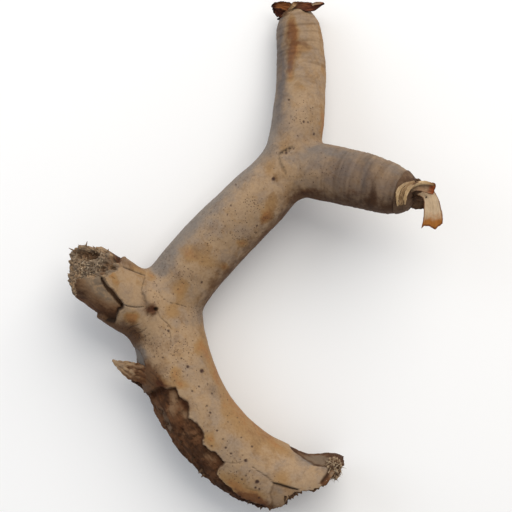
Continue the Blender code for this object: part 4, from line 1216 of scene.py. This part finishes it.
# Pixels and heights down the middle of each leaf base: x, y, height, half-width, roll, cup.
leafBases = {
    "tipLeafLeft": {
        "stations": [
            (297, 10.2, 22, 3.6, -6, 0.1), (290, 7.8, 26, 4.2, -10, 0.25), (283, 6.8, 27, 4.0, -18, 0.40),
            (277, 6.2, 24, 3.4, -28, 0.5), (272.6, 7.2, 20, 2.4, -34, 0.5),
        ],
        "seed": 91, "node": "tip_leaf_left", "finish": "amber", "slot": "brown_leaf", "crease": 1.0,
        "curl": 0.25, "round": 0.35, "torn": 0.2,
    },
    "tipLeafUnder": {
        "stations": [
            (291, 13.6, 21, 4.4, 10, 0.2), (285, 13.0, 22, 4.8, 16, 0.4), (280, 12.2, 21, 4.4, 20, 0.5),
            (276, 10.0, 19, 3.2, 22, 0.5), (273.4, 8.6, 17, 2.0, 22, 0.4),
        ],
        "seed": 97, "finish": "maroon", "slot": "brown_leaf", "crease": 0.9, "round": 0.4, "torn": 0.25,
    },
    "tipLeafFold": {
        "stations": [
            (292, 9.8, 28, 1.6, 20, 0.5), (287.5, 11.8, 29, 1.9, 30, 0.8), (284, 14.4, 27, 1.8, 34, 0.8),
            (281, 17.6, 21, 0.9, 34, 0.6),
        ],
        "seed": 99, "finish": "rust", "slot": "brown_leaf", "crease": 0.5, "round": 0.3,
    },
    "tipLeafMiddle": {
        "stations": [
            (288.0, 11.2, 27, 0.6, 0, 0.3), (290.6, 8.4, 30, 1.4, 6, 0.5), (293.6, 5.6, 30, 2.3, 8, 0.5),
            (296, 3.0, 27, 2.1, 10, 0.4),
        ],
        "seed": 93, "node": "tip_leaf_middle", "finish": "sheath", "slot": "pale_leaf", "torn": 0.25,
        "crease": 0.6, "round": 0.2,
    },
    "tipLeafCap": {
        "stations": [
            (290, 14.5, 24, 2.6, 0, -0.2), (294.5, 12.2, 26, 2.9, 0, -0.3), (299, 11.0, 26, 2.7, 4, -0.3),
            (304, 11.8, 24, 1.6, 6, -0.3),
        ],
        "seed": 94, "finish": "sheath", "slot": "pale_leaf", "torn": 0.25, "crease": 0.6, "round": 0.3,
    },
    "tipLeafRight": {
        "stations": [
            (295, 5.2, 24, 3.0, 8, 0.2), (301.5, 6.0, 27, 3.7, 14, 0.35), (308.0, 8.4, 27, 5.0, 20, 0.45),
            (313.5, 8.0, 25, 4.2, 24, 0.5), (319.5, 5.4, 24, 1.7, 24, 0.5), (323.8, 3.4, 24, 0.9, 20, 0.4),
        ],
        "seed": 95, "node": "tip_leaf_right", "finish": "maroon", "slot": "brown_leaf", "crease": 0.8,
        "torn": 0.14,
    },
    "tipLeafCurl": {
        "stations": [
            (312.5, 5.0, 27, 0.9, 0, 0.6), (315.5, 3.6, 29, 1.2, 0, 0.8), (319, 3.4, 28, 1.2, 0, 0.8),
            (322.8, 3.0, 26, 0.6, 0, 0.6),
        ],
        "seed": 96, "finish": "rust", "slot": "brown_leaf", "crease": 0.4, "round": 0.3,
    },
    "tipLeafNub": {
        "stations": [
            (281, 18.6, 18, 0.8, 0, 0.2), (279.4, 18.8, 18, 1.0, 0, 0.2), (277.6, 19.2, 17, 0.9, 0, 0.2),
        ],
        "seed": 98, "finish": "char", "slot": "brown_leaf", "crease": 0.3, "round": 0.5, "grid": (30, 16),
    },
    "sideLeafStrap": {
        "stations": [
            (418, 191, 88, 4.4, 20, 0.30), (424.5, 191, 91, 5.6, 15, 0.30), (430.0, 197, 89, 6.2, 8, 0.26),
            (431.8, 206, 85, 7.4, 2, 0.22), (433.0, 216, 80, 8.4, -4, 0.2),
            (432.0, 226.2, 74, 9.0, -8, 0.14),
        ],
        "seed": 101, "node": "side_leaf_strap", "finish": "cream", "slot": "pale_leaf", "grid": (100, 60),
        "torn": 0.05, "crease": 0.55, "ragged": 0.5,
        "reach": [
            (-1, -4.6), (-0.85, -3.2), (-0.35, 2.4), (-0.15, 2.6), (0.3, 0.2), (0.7, -0.3), (0.85, 0.4),
            (1, 2.4),
        ],
    },
    "sideLeafCurl": {
        "stations": [
            (405.5, 192.5, 92, 2.4, -16, 0.3), (410.5, 188.6, 97, 3.0, -20, 0.4),
            (416.5, 185.6, 101, 3.6, -22, 0.5), (423.0, 185.6, 101, 4.4, -10, 0.5),
            (429.0, 187.8, 98, 5.0, -8, 0.4), (434.6, 189.0, 95, 4.8, -8, 0.2),
        ],
        "seed": 103, "node": "side_leaf_curl", "finish": "rust", "slot": "brown_leaf", "crease": 0.6,
        "torn": 0.10, "ragged": 0.3,
        "reach": [(-1, -1.6), (-0.6, 0.2), (0.5, 0.0), (1, -0.8)],
    },
    "sideLeafRidge": {
        "stations": [
            (404.5, 191.4, 92, 0.9, 10, -0.4), (410.5, 187.4, 98, 1.5, 10, -0.5),
            (416.5, 183.6, 103, 1.7, 10, -0.6), (423.0, 181.8, 105, 1.6, 10, -0.6),
            (429.0, 183.2, 103, 1.4, 10, -0.6), (434.2, 184.8, 99, 0.8, 10, -0.5),
        ],
        "seed": 111, "finish": "straw", "slot": "pale_leaf", "crease": 0.4, "torn": 0.2, "grid": (80, 24),
    },
    "sideLeafHollow": {
        "stations": [
            (412, 196, 88, 3.2, 0, 0.3), (417, 194.6, 90, 3.6, 4, 0.4), (421.5, 193.6, 90, 3.8, 6, 0.5),
            (426.5, 194.6, 89, 3.0, 8, 0.5),
        ],
        "seed": 105, "finish": "brown", "slot": "brown_leaf", "crease": 0.7, "torn": 0.2,
    },
    "sideLeafInner": {
        "stations": [
            (405, 200, 78, 6.6, 0, -0.30), (411, 201, 80, 6.6, 2, -0.35), (418, 202.0, 80, 5.6, 4, -0.4),
            (427, 203.5, 79, 4.8, 6, -0.4),
        ],
        "seed": 107, "finish": "brown", "slot": "brown_leaf", "crease": 0.6,
    },
    "sideLeafBud": {
        "stations": [
            (413.5, 184, 93, 1.6, 0, -0.4), (415.6, 181.5, 96, 1.9, 0, -0.5),
            (418.4, 180, 97, 1.7, 0, -0.5), (421.0, 181, 96, 1.0, 0, -0.4),
        ],
        "seed": 109, "finish": "brown", "slot": "brown_leaf", "crease": 0.4, "round": 0.3,
    },
}
# Sheath strips that peel round the side arm's end: x, y, half-width in pixels, lift in millimetres.
sheathStrips = {
    "sheathWide": {
        "stations": [
            (414.8, 182.0, 1.6, 0.2), (409.0, 184.6, 3.0, 0.4), (403.2, 188.8, 4.4, 0.5),
            (400.2, 195.0, 4.8, 0.6), (400.4, 201.5, 3.6, 0.8), (401.6, 205.0, 1.8, 1.0),
        ],
        "seed": 131, "finish": "sheath", "slot": "pale_leaf", "grid": (120, 60), "torn": 0.22, "floor": 84,
    },
    "sheathOuter": {
        "stations": [
            (409.0, 182.6, 0.8, 0.5), (402.0, 185.4, 1.7, 0.9), (398.0, 190.6, 1.9, 1.2),
            (396.8, 197, 1.7, 1.4), (397.7, 206.0, 0.4, 1.6),
        ],
        "seed": 133, "finish": "straw", "slot": "pale_leaf", "grid": (110, 34), "torn": 0.22, "floor": 84,
    },
    "sheathInner": {
        "stations": [
            (415.0, 184.4, 0.9, 1.2), (410.4, 187.0, 1.6, 1.8), (406.8, 191.4, 2.0, 2.2),
            (404.8, 197.5, 1.9, 2.3), (405.0, 204.4, 0.4, 2.0),
        ],
        "seed": 134, "finish": "straw", "slot": "pale_leaf", "grid": (90, 34), "torn": 0.22, "floor": 84,
    },
}
leafTones = {
    "cream": {
        "base": (0.665, 0.485, 0.305), "pale": (0.72, 0.545, 0.36), "end": (0.46, 0.160, 0.022),
        "rim": (0.17, 0.045, 0.008), "start": (0.42, 0.29, 0.17),
    },
    "sheath": {
        "base": (0.19, 0.112, 0.050), "pale": (0.36, 0.235, 0.125), "end": (0.15, 0.070, 0.028),
        "rim": (0.060, 0.028, 0.012), "start": (0.28, 0.18, 0.095),
    },
    "straw": {
        "base": (0.42, 0.280, 0.140), "pale": (0.56, 0.41, 0.24), "end": (0.25, 0.135, 0.055),
        "rim": (0.080, 0.038, 0.016), "start": (0.30, 0.20, 0.115),
    },
    "amber": {
        "base": (0.105, 0.030, 0.007), "pale": (0.24, 0.088, 0.022), "end": (0.055, 0.012, 0.004),
        "rim": (0.026, 0.008, 0.004), "start": (0.22, 0.110, 0.042),
    },
    "maroon": {
        "base": (0.055, 0.013, 0.006), "pale": (0.130, 0.038, 0.013), "end": (0.040, 0.009, 0.005),
        "rim": (0.014, 0.005, 0.003), "start": (0.10, 0.038, 0.016),
    },
    "rust": {
        "base": (0.26, 0.155, 0.085), "pale": (0.40, 0.275, 0.170), "end": (0.23, 0.050, 0.010),
        "rim": (0.10, 0.035, 0.014), "start": (0.46, 0.33, 0.20),
    },
    "brown": {
        "base": (0.075, 0.038, 0.020), "pale": (0.14, 0.085, 0.050), "end": (0.055, 0.026, 0.014),
        "rim": (0.028, 0.013, 0.008), "start": (0.10, 0.055, 0.030),
    },
    "char": {
        "base": (0.02, 0.012, 0.009), "pale": (0.04, 0.024, 0.016), "end": (0.012, 0.008, 0.006),
        "rim": (0.01, 0.007, 0.005), "start": (0.03, 0.018, 0.012),
    },
}


# Dry leaf: fibres run along it, its free end and rims are browner.
def makeLeafFinish(tones):
    f = Finish("leafFinish_" + tones)
    t = leafTones[tones]
    along, across, rim, tone = (f.field(n) for n in ("along", "across", "rim", "tone"))
    where = f.place()
    cloud = f.noise(where, 170, 4, 0.6, 0.5)
    fine = f.noise(where, 1400, 3, 0.7)
    lines = f.node("CombineXYZ", {}, {0: along * 1.5, 1: across * 9, 2: 0.3 * cloud})
    fibre = f.noise(lines, 3.0, 4, 0.6)
    colour = f.mix(f.step(0.6 * fibre + 0.8 * (cloud - 0.5) + 0.4 * tone, 0.35, 0.72), t["base"], t["pale"])
    colour = f.mix(f.clamp(f.step(along, 0.42, 0.0) * 0.8), colour, t["start"])
    colour = f.mix(f.clamp(f.step(along + 0.30 * (cloud - 0.5), 0.70, 0.92) * 0.95), colour, t["end"])
    # On the collar the rim field also carries painted shade on its downward side.
    colour = f.mix(f.clamp(f.step(rim + 0.5 * (cloud - 0.5), 0.35, 1.0) * 0.85), colour, t["rim"])
    colour = f.mix(0.3 * f.step(fine, 0.4, 0.65), colour, f.mix(1.0, colour, (0.7, 0.66, 0.62), "MULTIPLY"))
    return f.close(
        colour, f.clamp(0.55 + 0.25 * cloud), 1.2 * fibre + 0.4 * fine, 0.4, **{"Specular IOR Level": 0.12})


# Collar: papery sleeves round the side arm's end. Each is a ring carried along the arm, a little outside
# its skin, with a front edge torn into tongues.
# Its dark brown leaf finish is partly its own colour and partly painted shade beneath the pale sheath strips.
collar = {
    "columns": 170, "rows": 26, "finish": "brown", "slot": "pale_leaf", "node": "side_collar",
    "thickness": 0.45,
    # from the last station, radius
    "profile": [(-22, 23.4), (-16, 22.3), (-10, 20.9), (-4, 18.4), (0, 16.2), (4, 13.6), (9, 10.5)],
    "layers": [
        {"back": -7.0, "front": 0.0, "lift": 0.5, "tongue": 1.2, "seed": 121},
        {"back": -4.0, "front": 3.0, "lift": 0.7, "tongue": 1.6, "seed": 124},
        {"back": -1.0, "front": 5.5, "lift": 0.6, "tongue": 1.8, "seed": 127},
    ],
}


def buildCollar():
    angle = np.arange(collar["columns"]) / collar["columns"] * turn
    places, radii = zip(*collar["profile"])
    last = side["length"] - sideLimb["tip"] * mm
    allPoints, allFaces, allFields, start = [], [], {k: [] for k in ("along", "across", "rim", "tone")}, 0
    for layer in collar["layers"]:
        ring = np.stack([np.cos(angle) * 3, np.sin(angle) * 3, 0 * angle + layer["seed"]], -1)
        jag = np.abs(grain(ring * 1.3, 1.0, 1)) * 1.6 + np.abs(grain(ring * 3.2, 1.0, 2)) * 0.9 - 0.6
        u = np.linspace(0, 1, collar["rows"])[:, None]
        front = layer["front"] + layer["tongue"] * jag[None]
        x = layer["back"] + 0.8 * grain(ring, 1.0, 4)[None] + (front - layer["back"]) * u
        armAt = np.interp(last + x * mm, side["along"], side["radius"]) / mm
        profile = np.interp(x, places, radii)
        radius = np.minimum(profile, armAt + 1.2)
        radius = (
            np.maximum(radius, armAt + 0.15) + layer["lift"] * u ** 1.5
            * (1 + 0.6 * grain(ring * 2, 1.0, 3)[None])) * mm
        centre = side["centre"][-1] + (x * mm - sideLimb["tip"] * mm)[..., None] * side["heading"][-90]
        _, outward = ringPoints(side, np.clip(last + x * mm, 0, last - 3 * mm), angle[None] + 0 * x)
        points = centre + radius[..., None] * outward
        allFaces.append(gridFaces(*x.shape) + start)
        start += x.size
        allPoints.append(points.reshape(-1, 3))
        wave = grain(np.stack([u + 0 * x, 0 * x, 0 * x], -1) + ring[None] * 0.7, 1.0, 5)
        # The rim field also darkens the collar's downward side: painted shade.
        rim = smoothStep(0.80, 1.0, u + 0 * x) * 0.55 + smoothStep(0.35, -0.75, outward[..., 2]) * 0.6
        for key, value in (
            ("along", 0.25 + 0.25 * u + 0 * x), ("across", 6 * np.cos(angle)[None] + 0 * x), ("rim", rim),
            ("tone", 0.5 + 0.5 * wave)):
            allFields[key].append(value.ravel())
    fields = {k: np.concatenate(v) for k, v in allFields.items()}
    return thinPiece("sideCollar", np.vstack(allPoints), np.vstack(allFaces), fields, collar)


# Loose bark: a surface ruled between an upper and a lower edge, given as paths in the photograph with their
# heights.
looseBark = {
    "barkFlake": {
        "upper": [
            (112.4, 360.0, 46), (118, 360.8, 46), (125.5, 361.4, 46.5), (135, 362.6, 48.5),
            (141.5, 364.5, 51), (147, 367.5, 53), (153, 372, 54),
        ],
        "lower": [
            (112.7, 360.8, 46), (116.2, 366.4, 45), (120.4, 371.9, 44.5), (130.4, 381.2, 44),
            (133.5, 379.6, 44.5), (141.5, 382.8, 46.5), (151, 389.5, 50),
        ],
        "thickness": 1.6, "node": "bark_flake", "seed": 141, "finish": "bark", "slot": "loose_bark",
    },
    "barkSliver": {
        "upper": [
            (131.4, 380.6, 34), (135, 381.2, 34), (139.6, 382.4, 34), (145.0, 386.4, 35),
            (151.5, 394.5, 36),
        ],
        "lower": [
            (131.8, 381.4, 33), (134, 382.6, 33), (138.0, 384.9, 32), (142.6, 388.0, 31),
            (147.8, 395.0, 30),
        ],
        "thickness": 0.9, "seed": 145, "finish": "bark", "slot": "loose_bark",
    },
}


def buildLooseBark(name, spec):
    rows, columns = 80, 40
    u, v = np.linspace(0, 1, rows), np.linspace(0, 1, columns)
    edges = []
    for key in ("upper", "lower"):
        edges.append(splineOf([fromPhoto(x, y, z * mm) for x, y, z in spec[key]], rows))
    uu, vv = np.meshgrid(u, v, indexing="ij")
    where = np.stack([uu * 4, vv * 2.5, 0 * uu + spec["seed"]], -1)
    ragged = 0.05 * grain(where * (3.5, 0, 1), 1.0, spec["seed"])
    share = (vv + ragged * np.sign(vv - 0.5) * np.abs(2 * vv - 1) ** 3)[..., None]
    points = edges[0][:, None] * (1 - share) + edges[1][:, None] * share
    bend = 1.6 * mm * np.sin(np.pi * vv) * (0.3 + 0.7 * uu)
    folds = 1 - 2 * np.abs(grain(where * (1.6, 2.2, 1), 1.0, 2))
    points[..., 2] += bend + 0.9 * mm * folds * smoothStep(0.05, 0.35, uu) + 0.4 * mm * grain(where * 3, 1.0, 3)
    dark = smoothStep(0.30, 0.60, uu + 0.2 * grain(where * 2, 1.0, 5))
    fields = blankFields(
        uu.shape, warm=0.9 * dark * (0.5 + grain(where * 2, 1.0, 4)), rust=0.5 * dark,
        shade=dark * (0.75 + 0.5 * grain(where * 1.7, 1.0, 6)) + 0.15, specks=-1.5)
    if name == "barkSliver":
        fields = blankFields(uu.shape, bare=1.0, edge=0.7)
    return thinPiece(name, points, gridFaces(rows, columns, False), fields, spec)


# Splinters and fibres, all in one mesh: each is a three-sided blade whose middle line is its root plus its
# direction times the share of its length, bent by the square of that share, and whose width falls to a
# point.
def splinters(name, roots, directions, lengths, widths, bends, tones, material, slot):
    rings, sides = 6, 3
    share = np.linspace(0, 1, rings)
    directions = directions / np.linalg.norm(directions, axis=1)[:, None]
    line = roots[:, None] + directions[:, None] * (lengths[:, None] * share)[..., None] + bends[:, None] * (
        lengths[:, None] * share ** 2)[..., None]
    first = np.cross(directions, (0.3, 0.2, 0.93))
    first /= np.linalg.norm(first, axis=1)[:, None]
    second = np.cross(directions, first)
    around = np.arange(sides) / sides * turn
    flat = np.cos(around)[:, None] * first[:, None] + 0.45 * np.sin(around)[:, None] * second[:, None]
    thick = widths[:, None] * (1 - share[None]) ** 0.7 + 0.02 * mm
    points = line[:, :, None] + thick[..., None, None] * flat[:, None]
    one = gridFaces(rings, sides)[:, ::-1]
    caps = np.array([[0, 1, 2], [(rings - 1) * 3 + 2, (rings - 1) * 3 + 1, (rings - 1) * 3]])
    step = np.arange(len(roots))[:, None, None] * rings * sides
    quads, triangles = (one[None] + step).reshape(-1, 4), (caps[None] + step).reshape(-1, 3)
    fields = {
        "tone": np.repeat(tones, rings * sides), "along": np.tile(np.repeat(share, sides), len(roots)),
    }
    piece = putMesh(name, points, quads, triangles, None, fields, [material])
    print(name, len(quads) * 2 + len(triangles), "triangles")
    return piece


fibreTones = [
    (0.0, (0.030, 0.014, 0.007)), (0.35, (0.110, 0.060, 0.032)), (0.62, (0.215, 0.145, 0.088)),
    (0.82, (0.34, 0.25, 0.16)), (1.0, (0.46, 0.36, 0.25)),
]


def makeFibreFinish():
    f = Finish("fibreFinish")
    tone, along = f.field("tone"), f.field("along")
    cloud = f.noise(f.place(), 600, 3, 0.6)
    colour = f.node(
        "ValToRGB", {"stops": fibreTones}, {0: f.clamp(tone + 0.35 * (cloud - 0.5) + 0.12 * along)})
    return f.close(colour, f.clamp(0.7 + 0.2 * cloud), cloud, 0.2, **{"Specular IOR Level": 0.10})


# Splinters drawn singly: the pixels of the root and of the tip, how far it rises and its half-width in
# millimetres, and its tone. The rest are scattered over the broken faces.
splinterSets = {
    "stub": {
        "count": 520, "seed": 31, "length": (1.4, 2.6), "width": (0.50, 1.10), "slot": "loose_bark",
        "single": [
            ((77, 252.5), (68.2, 247.8), 0, 1.5, 0.40), ((85, 247.5), (87.4, 240.8), 0, 1.3, 0.50),
            ((80, 249), (78.4, 244.4), 0, 1.8, 0.50),
            ((96, 250), (92.6, 245.8), 0, 1.6, 0.50), ((107, 252), (108.6, 248.6), 0, 1.5, 0.48),
            ((75, 262), (69.6, 256.6), 0, 1.6, 0.60),
            ((99, 260), (104, 255), 1, 0.5, 0.72), ((106, 259), (110, 254.5), 1, 0.5, 0.60),
            ((96, 254), (101, 250), 1, 0.6, 0.65),
        ],
    },
    "lower": {
        "count": 420, "seed": 37, "length": (1.0, 1.7), "width": (0.45, 0.70), "slot": "loose_bark",
        "single": [
            ((286, 496), (284.6, 503.0), 1, 1.5, 0.10), ((289.5, 495), (291.2, 500.6), 0, 1.4, 0.10),
            ((295, 491), (297.6, 493.6), 0, 1.2, 0.12),
            ((292, 492.5), (294.2, 496.8), 0, 1.3, 0.14), ((311, 487), (312, 491.2), -1, 1.2, 0.12),
            ((305, 487.5), (305.2, 490.4), -1, 1.0, 0.15),
            ((316, 481.5), (317.4, 484.8), -1, 1.0, 0.12), ((319, 479), (320.6, 483.7), -1, 1.0, 0.12),
            ((262, 506), (260.4, 509.8), -2, 1.8, 0.14),
            ((250, 500.5), (247.6, 504.4), -2, 1.8, 0.12), ((163, 411), (159.6, 414.6), -1, 1.8, 0.18),
            ((168, 423), (164.2, 427.0), -1, 1.6, 0.18),
            ((194, 457), (191.0, 462.6), -1, 2.0, 0.14), ((203, 470), (198.0, 473.6), -1, 2.2, 0.34),
            ((205, 474), (201, 477.6), -1, 1.8, 0.34),
            ((152, 391), (148.0, 394.4), -1, 1.5, 0.16), ((215, 480), (212.6, 483.6), -1, 1.6, 0.12),
            ((182, 441), (178.8, 445.8), -1, 1.5, 0.12),
            ((173, 430), (169.8, 434.2), -1, 1.5, 0.16),
        ],
    },
}


# Clump of rotten wood at the lower end's inner corner: a ball whose radius is ridged and pitted by noise.
fibreClump = {
    "place": (333.0, 468.5, 52), "sizes": (7.4, 9.2, 7.6), "grid": (90, 130), "seed": 151,
    "slot": "loose_bark",
}


def buildClump():
    rows, columns = fibreClump["grid"]
    down = np.linspace(0, np.pi, rows + 2)[1:-1, None]
    around = np.arange(columns)[None] / columns * turn
    way = np.stack(
        [np.sin(down) * np.cos(around), np.sin(down) * np.sin(around), np.cos(down) + 0 * around], -1)
    ridge, pits = np.abs(grain(way, 0.34, fibreClump["seed"])), grain(way, 0.8, fibreClump["seed"] + 1)
    radius = 0.84 + 0.42 * ridge + 0.18 * pits + 0.10 * np.abs(grain(way, 0.14, fibreClump["seed"] + 2))
    sizes = np.array(fibreClump["sizes"]) * mm
    middle = fromPhoto(*fibreClump["place"][:2], fibreClump["place"][2] * mm)
    points = middle + way * sizes * radius[..., None]
    # Its tone is darker in the valleys between the ridges: painted shade.
    tone = np.clip(0.12 + 1.1 * ridge + 0.25 * pits, 0, 0.8)
    fields = {"tone": np.append(tone.ravel(), [0.3, 0.3]), "along": np.zeros(rows * columns + 2)}
    corners = np.vstack([points.reshape(-1, 3), points[0].mean(0), points[-1].mean(0)])
    fans = endFans(rows, columns)
    piece = putMesh("lowerClump", corners, gridFaces(rows, columns), fans, None, fields, [fibreMaterial])
    return points.reshape(-1, 3), way.reshape(-1, 3)


def buildSplinters(skins, stubFace, clump):
    # Each single splinter is rooted in the skin that shows at its root's pixel.
    skin = np.vstack(skins)
    shown = photoPlace(skin)

    def singles(spec):
        roots, tips, rises, widths, tones = zip(*spec["single"])
        start, way = [], []
        for root, tip, rise in zip(roots, tips, rises):
            away = np.hypot(*(shown - root).T)
            height = skin[away < max(1.0, away.min() + 0.3), 2].max() - 0.5 * mm
            start.append(fromPhoto(*root, height))
            way.append(fromPhoto(*tip, height + rise * mm) - start[-1])
        start, way = np.array(start), np.array(way)
        return start, way, np.linalg.norm(way, axis=1), np.array(widths) * mm, 0 * way, np.array(tones)

    def put(name, spec, scattered):
        both = [np.concatenate(pair) for pair in zip(scattered, singles(spec))]
        splinters(name, *both, fibreMaterial, spec["slot"])

    # Over the stub's broken face: they lie across it, those on its right slanting like the wood there.
    spec = splinterSets["stub"]
    random = np.random.default_rng(spec["seed"])
    count = spec["count"]
    ring = (random.random(count) ** 1.3 * (len(stubFace) * 0.85)).astype(int)
    roots = stubFace[ring, random.integers(0, stubFace.shape[1], count)]
    roots = roots[outlineDistance(photoPlace(roots), stubBreak["inner"]) < 0]
    q, count = photoPlace(roots), len(roots)
    facing = np.array(breaks["stub"]["facing"])
    loose = random.normal(size=(count, 3))
    loose -= (loose @ facing)[:, None] * facing
    slanting = smoothStep(*stubBreak["slant"], q[:, 0])[:, None]
    directions = 0.25 * facing + loose * (1 - 0.6 * slanting) + slanting * np.array((0.6, 0.6, 0.1)) - (
        roots - stubFace[-1].mean(0)) / 0.05
    px, py = stubBreak["pit"][:2]
    inPit = np.exp(-(((q[:, 0] - px) / 11) ** 2 + ((q[:, 1] - py) / 6) ** 2))
    inHollow = smoothStep(1.5, -1.5, outlineDistance(q, stubBreak["hollow"]))
    # Splinters in the pit and the hollow are darker: painted shade.
    tones = np.clip(0.80 + 0.22 * random.normal(size=count) - 0.50 * inPit - 0.45 * inHollow, 0, 1)
    lengths = (
        spec["length"][0] + spec["length"][1] * random.random(count) ** 2) * mm * (1 - 0.6 * inHollow)
    widths = (spec["width"][0] + spec["width"][1] * random.random(count) ** 2) * mm
    bends = random.normal(size=(count, 3)) * 0.35
    put("stubSplinters", spec, (roots - 0.5 * mm * facing, directions, lengths, widths, bends, tones))
    # At the lower end: curled light fibres on the clump.
    spec = splinterSets["lower"]
    random = np.random.default_rng(spec["seed"])
    count = spec["count"]
    points, ways = clump
    chosen = random.integers(0, len(points), count)
    roots, ways = points[chosen], ways[chosen]
    directions = 0.4 * ways + random.normal(size=(count, 3)) * 0.8
    lengths = (spec["length"][0] + spec["length"][1] * random.random(count)) * mm
    widths = (spec["width"][0] + spec["width"][1] * random.random(count) ** 2) * mm
    tones = np.clip(0.25 + 0.75 * random.random(count) ** 0.8, 0, 1)
    bends = random.normal(size=(count, 3)) * 1.1
    put("lowerSplinters", spec, (roots - 0.6 * mm * ways, directions, lengths, widths, bends, tones))


barkMaterial = makeBark()
fibreMaterial = makeFibreFinish()
leafFinishes = {tones: makeLeafFinish(tones) for tones in leafTones}
print("finishes ready")
trunkSkin = buildTrunk()
buildSideArm()
stubSkin, stubFace = buildStub()
buildSplinters((trunkSkin, stubSkin), stubFace, buildClump())
for name, spec in leafBases.items():
    paperSheet(name, spec)
for name, spec in sheathStrips.items():
    drapedSheet(name, spec, side)
buildCollar()
for name, spec in looseBark.items():
    buildLooseBark(name, spec)
print("leaf bases and loose bark ready")

# Floor, light and camera.
studio = {
    "floorSize": 6.0, "floorColour": (0.88, 0.88, 0.88),
    "key": {"place": (0.9, 1.9, 2.2), "size": 2.9, "power": 88.0, "colour": (1.0, 0.96, 0.90)},
    "fill": {"place": (-2.2, 1.0, 1.3), "size": 1.8, "power": 20.0, "colour": (0.80, 0.89, 1.0)},
    "sky": (0.98, 0.985, 1.0), "skyStrength": 0.50,
}


def buildStudio():
    half = studio["floorSize"] / 2
    edge = np.linspace(-half, half, 5)
    x, y = np.meshgrid(edge, edge, indexing="ij")
    mesh = bpy.data.meshes.new("floor")
    mesh.from_pydata(
        np.stack([x, y, 0 * x], -1).reshape(-1, 3).tolist(), [], gridFaces(5, 5, False).tolist())
    floor = bpy.data.objects.new("floor", mesh)
    bpy.context.scene.collection.objects.link(floor)
    f = Finish("floorFinish")
    cloud = f.noise(f.place(), 3.0, 2)
    c = studio["floorColour"]
    mesh.materials.append(f.close(f.mix(cloud, c, tuple(v * 1.03 for v in c)), 0.85, None, 0))
    for name in ("key", "fill"):
        spec = studio[name]
        lamp = bpy.data.lights.new(name, "AREA")
        lamp.size, lamp.energy, lamp.color = spec["size"], spec["power"], spec["colour"]
        holder = bpy.data.objects.new(name, lamp)
        holder.location = spec["place"]
        holder.rotation_euler = (-Vector(spec["place"])).to_track_quat("-Z", "Y").to_euler()
        bpy.context.scene.collection.objects.link(holder)
    world = bpy.data.worlds.new("studio")
    world.use_nodes = True
    world.node_tree.nodes["Background"].inputs[0].default_value = (*studio["sky"], 1)
    world.node_tree.nodes["Background"].inputs[1].default_value = studio["skyStrength"]
    bpy.context.scene.world = world
    lens = bpy.data.cameras.new("photoCamera")
    lens.lens, lens.sensor_width = photoView["lens"], photoView["sensor"]
    lens.clip_end = 20
    camera = bpy.data.objects.new("photoCamera", lens)
    camera.location = (*photoView["middle"], photoView["height"])
    bpy.context.scene.collection.objects.link(camera)
    bpy.context.scene.camera = camera
    bpy.context.scene.view_settings.view_transform = "Standard"


buildStudio()
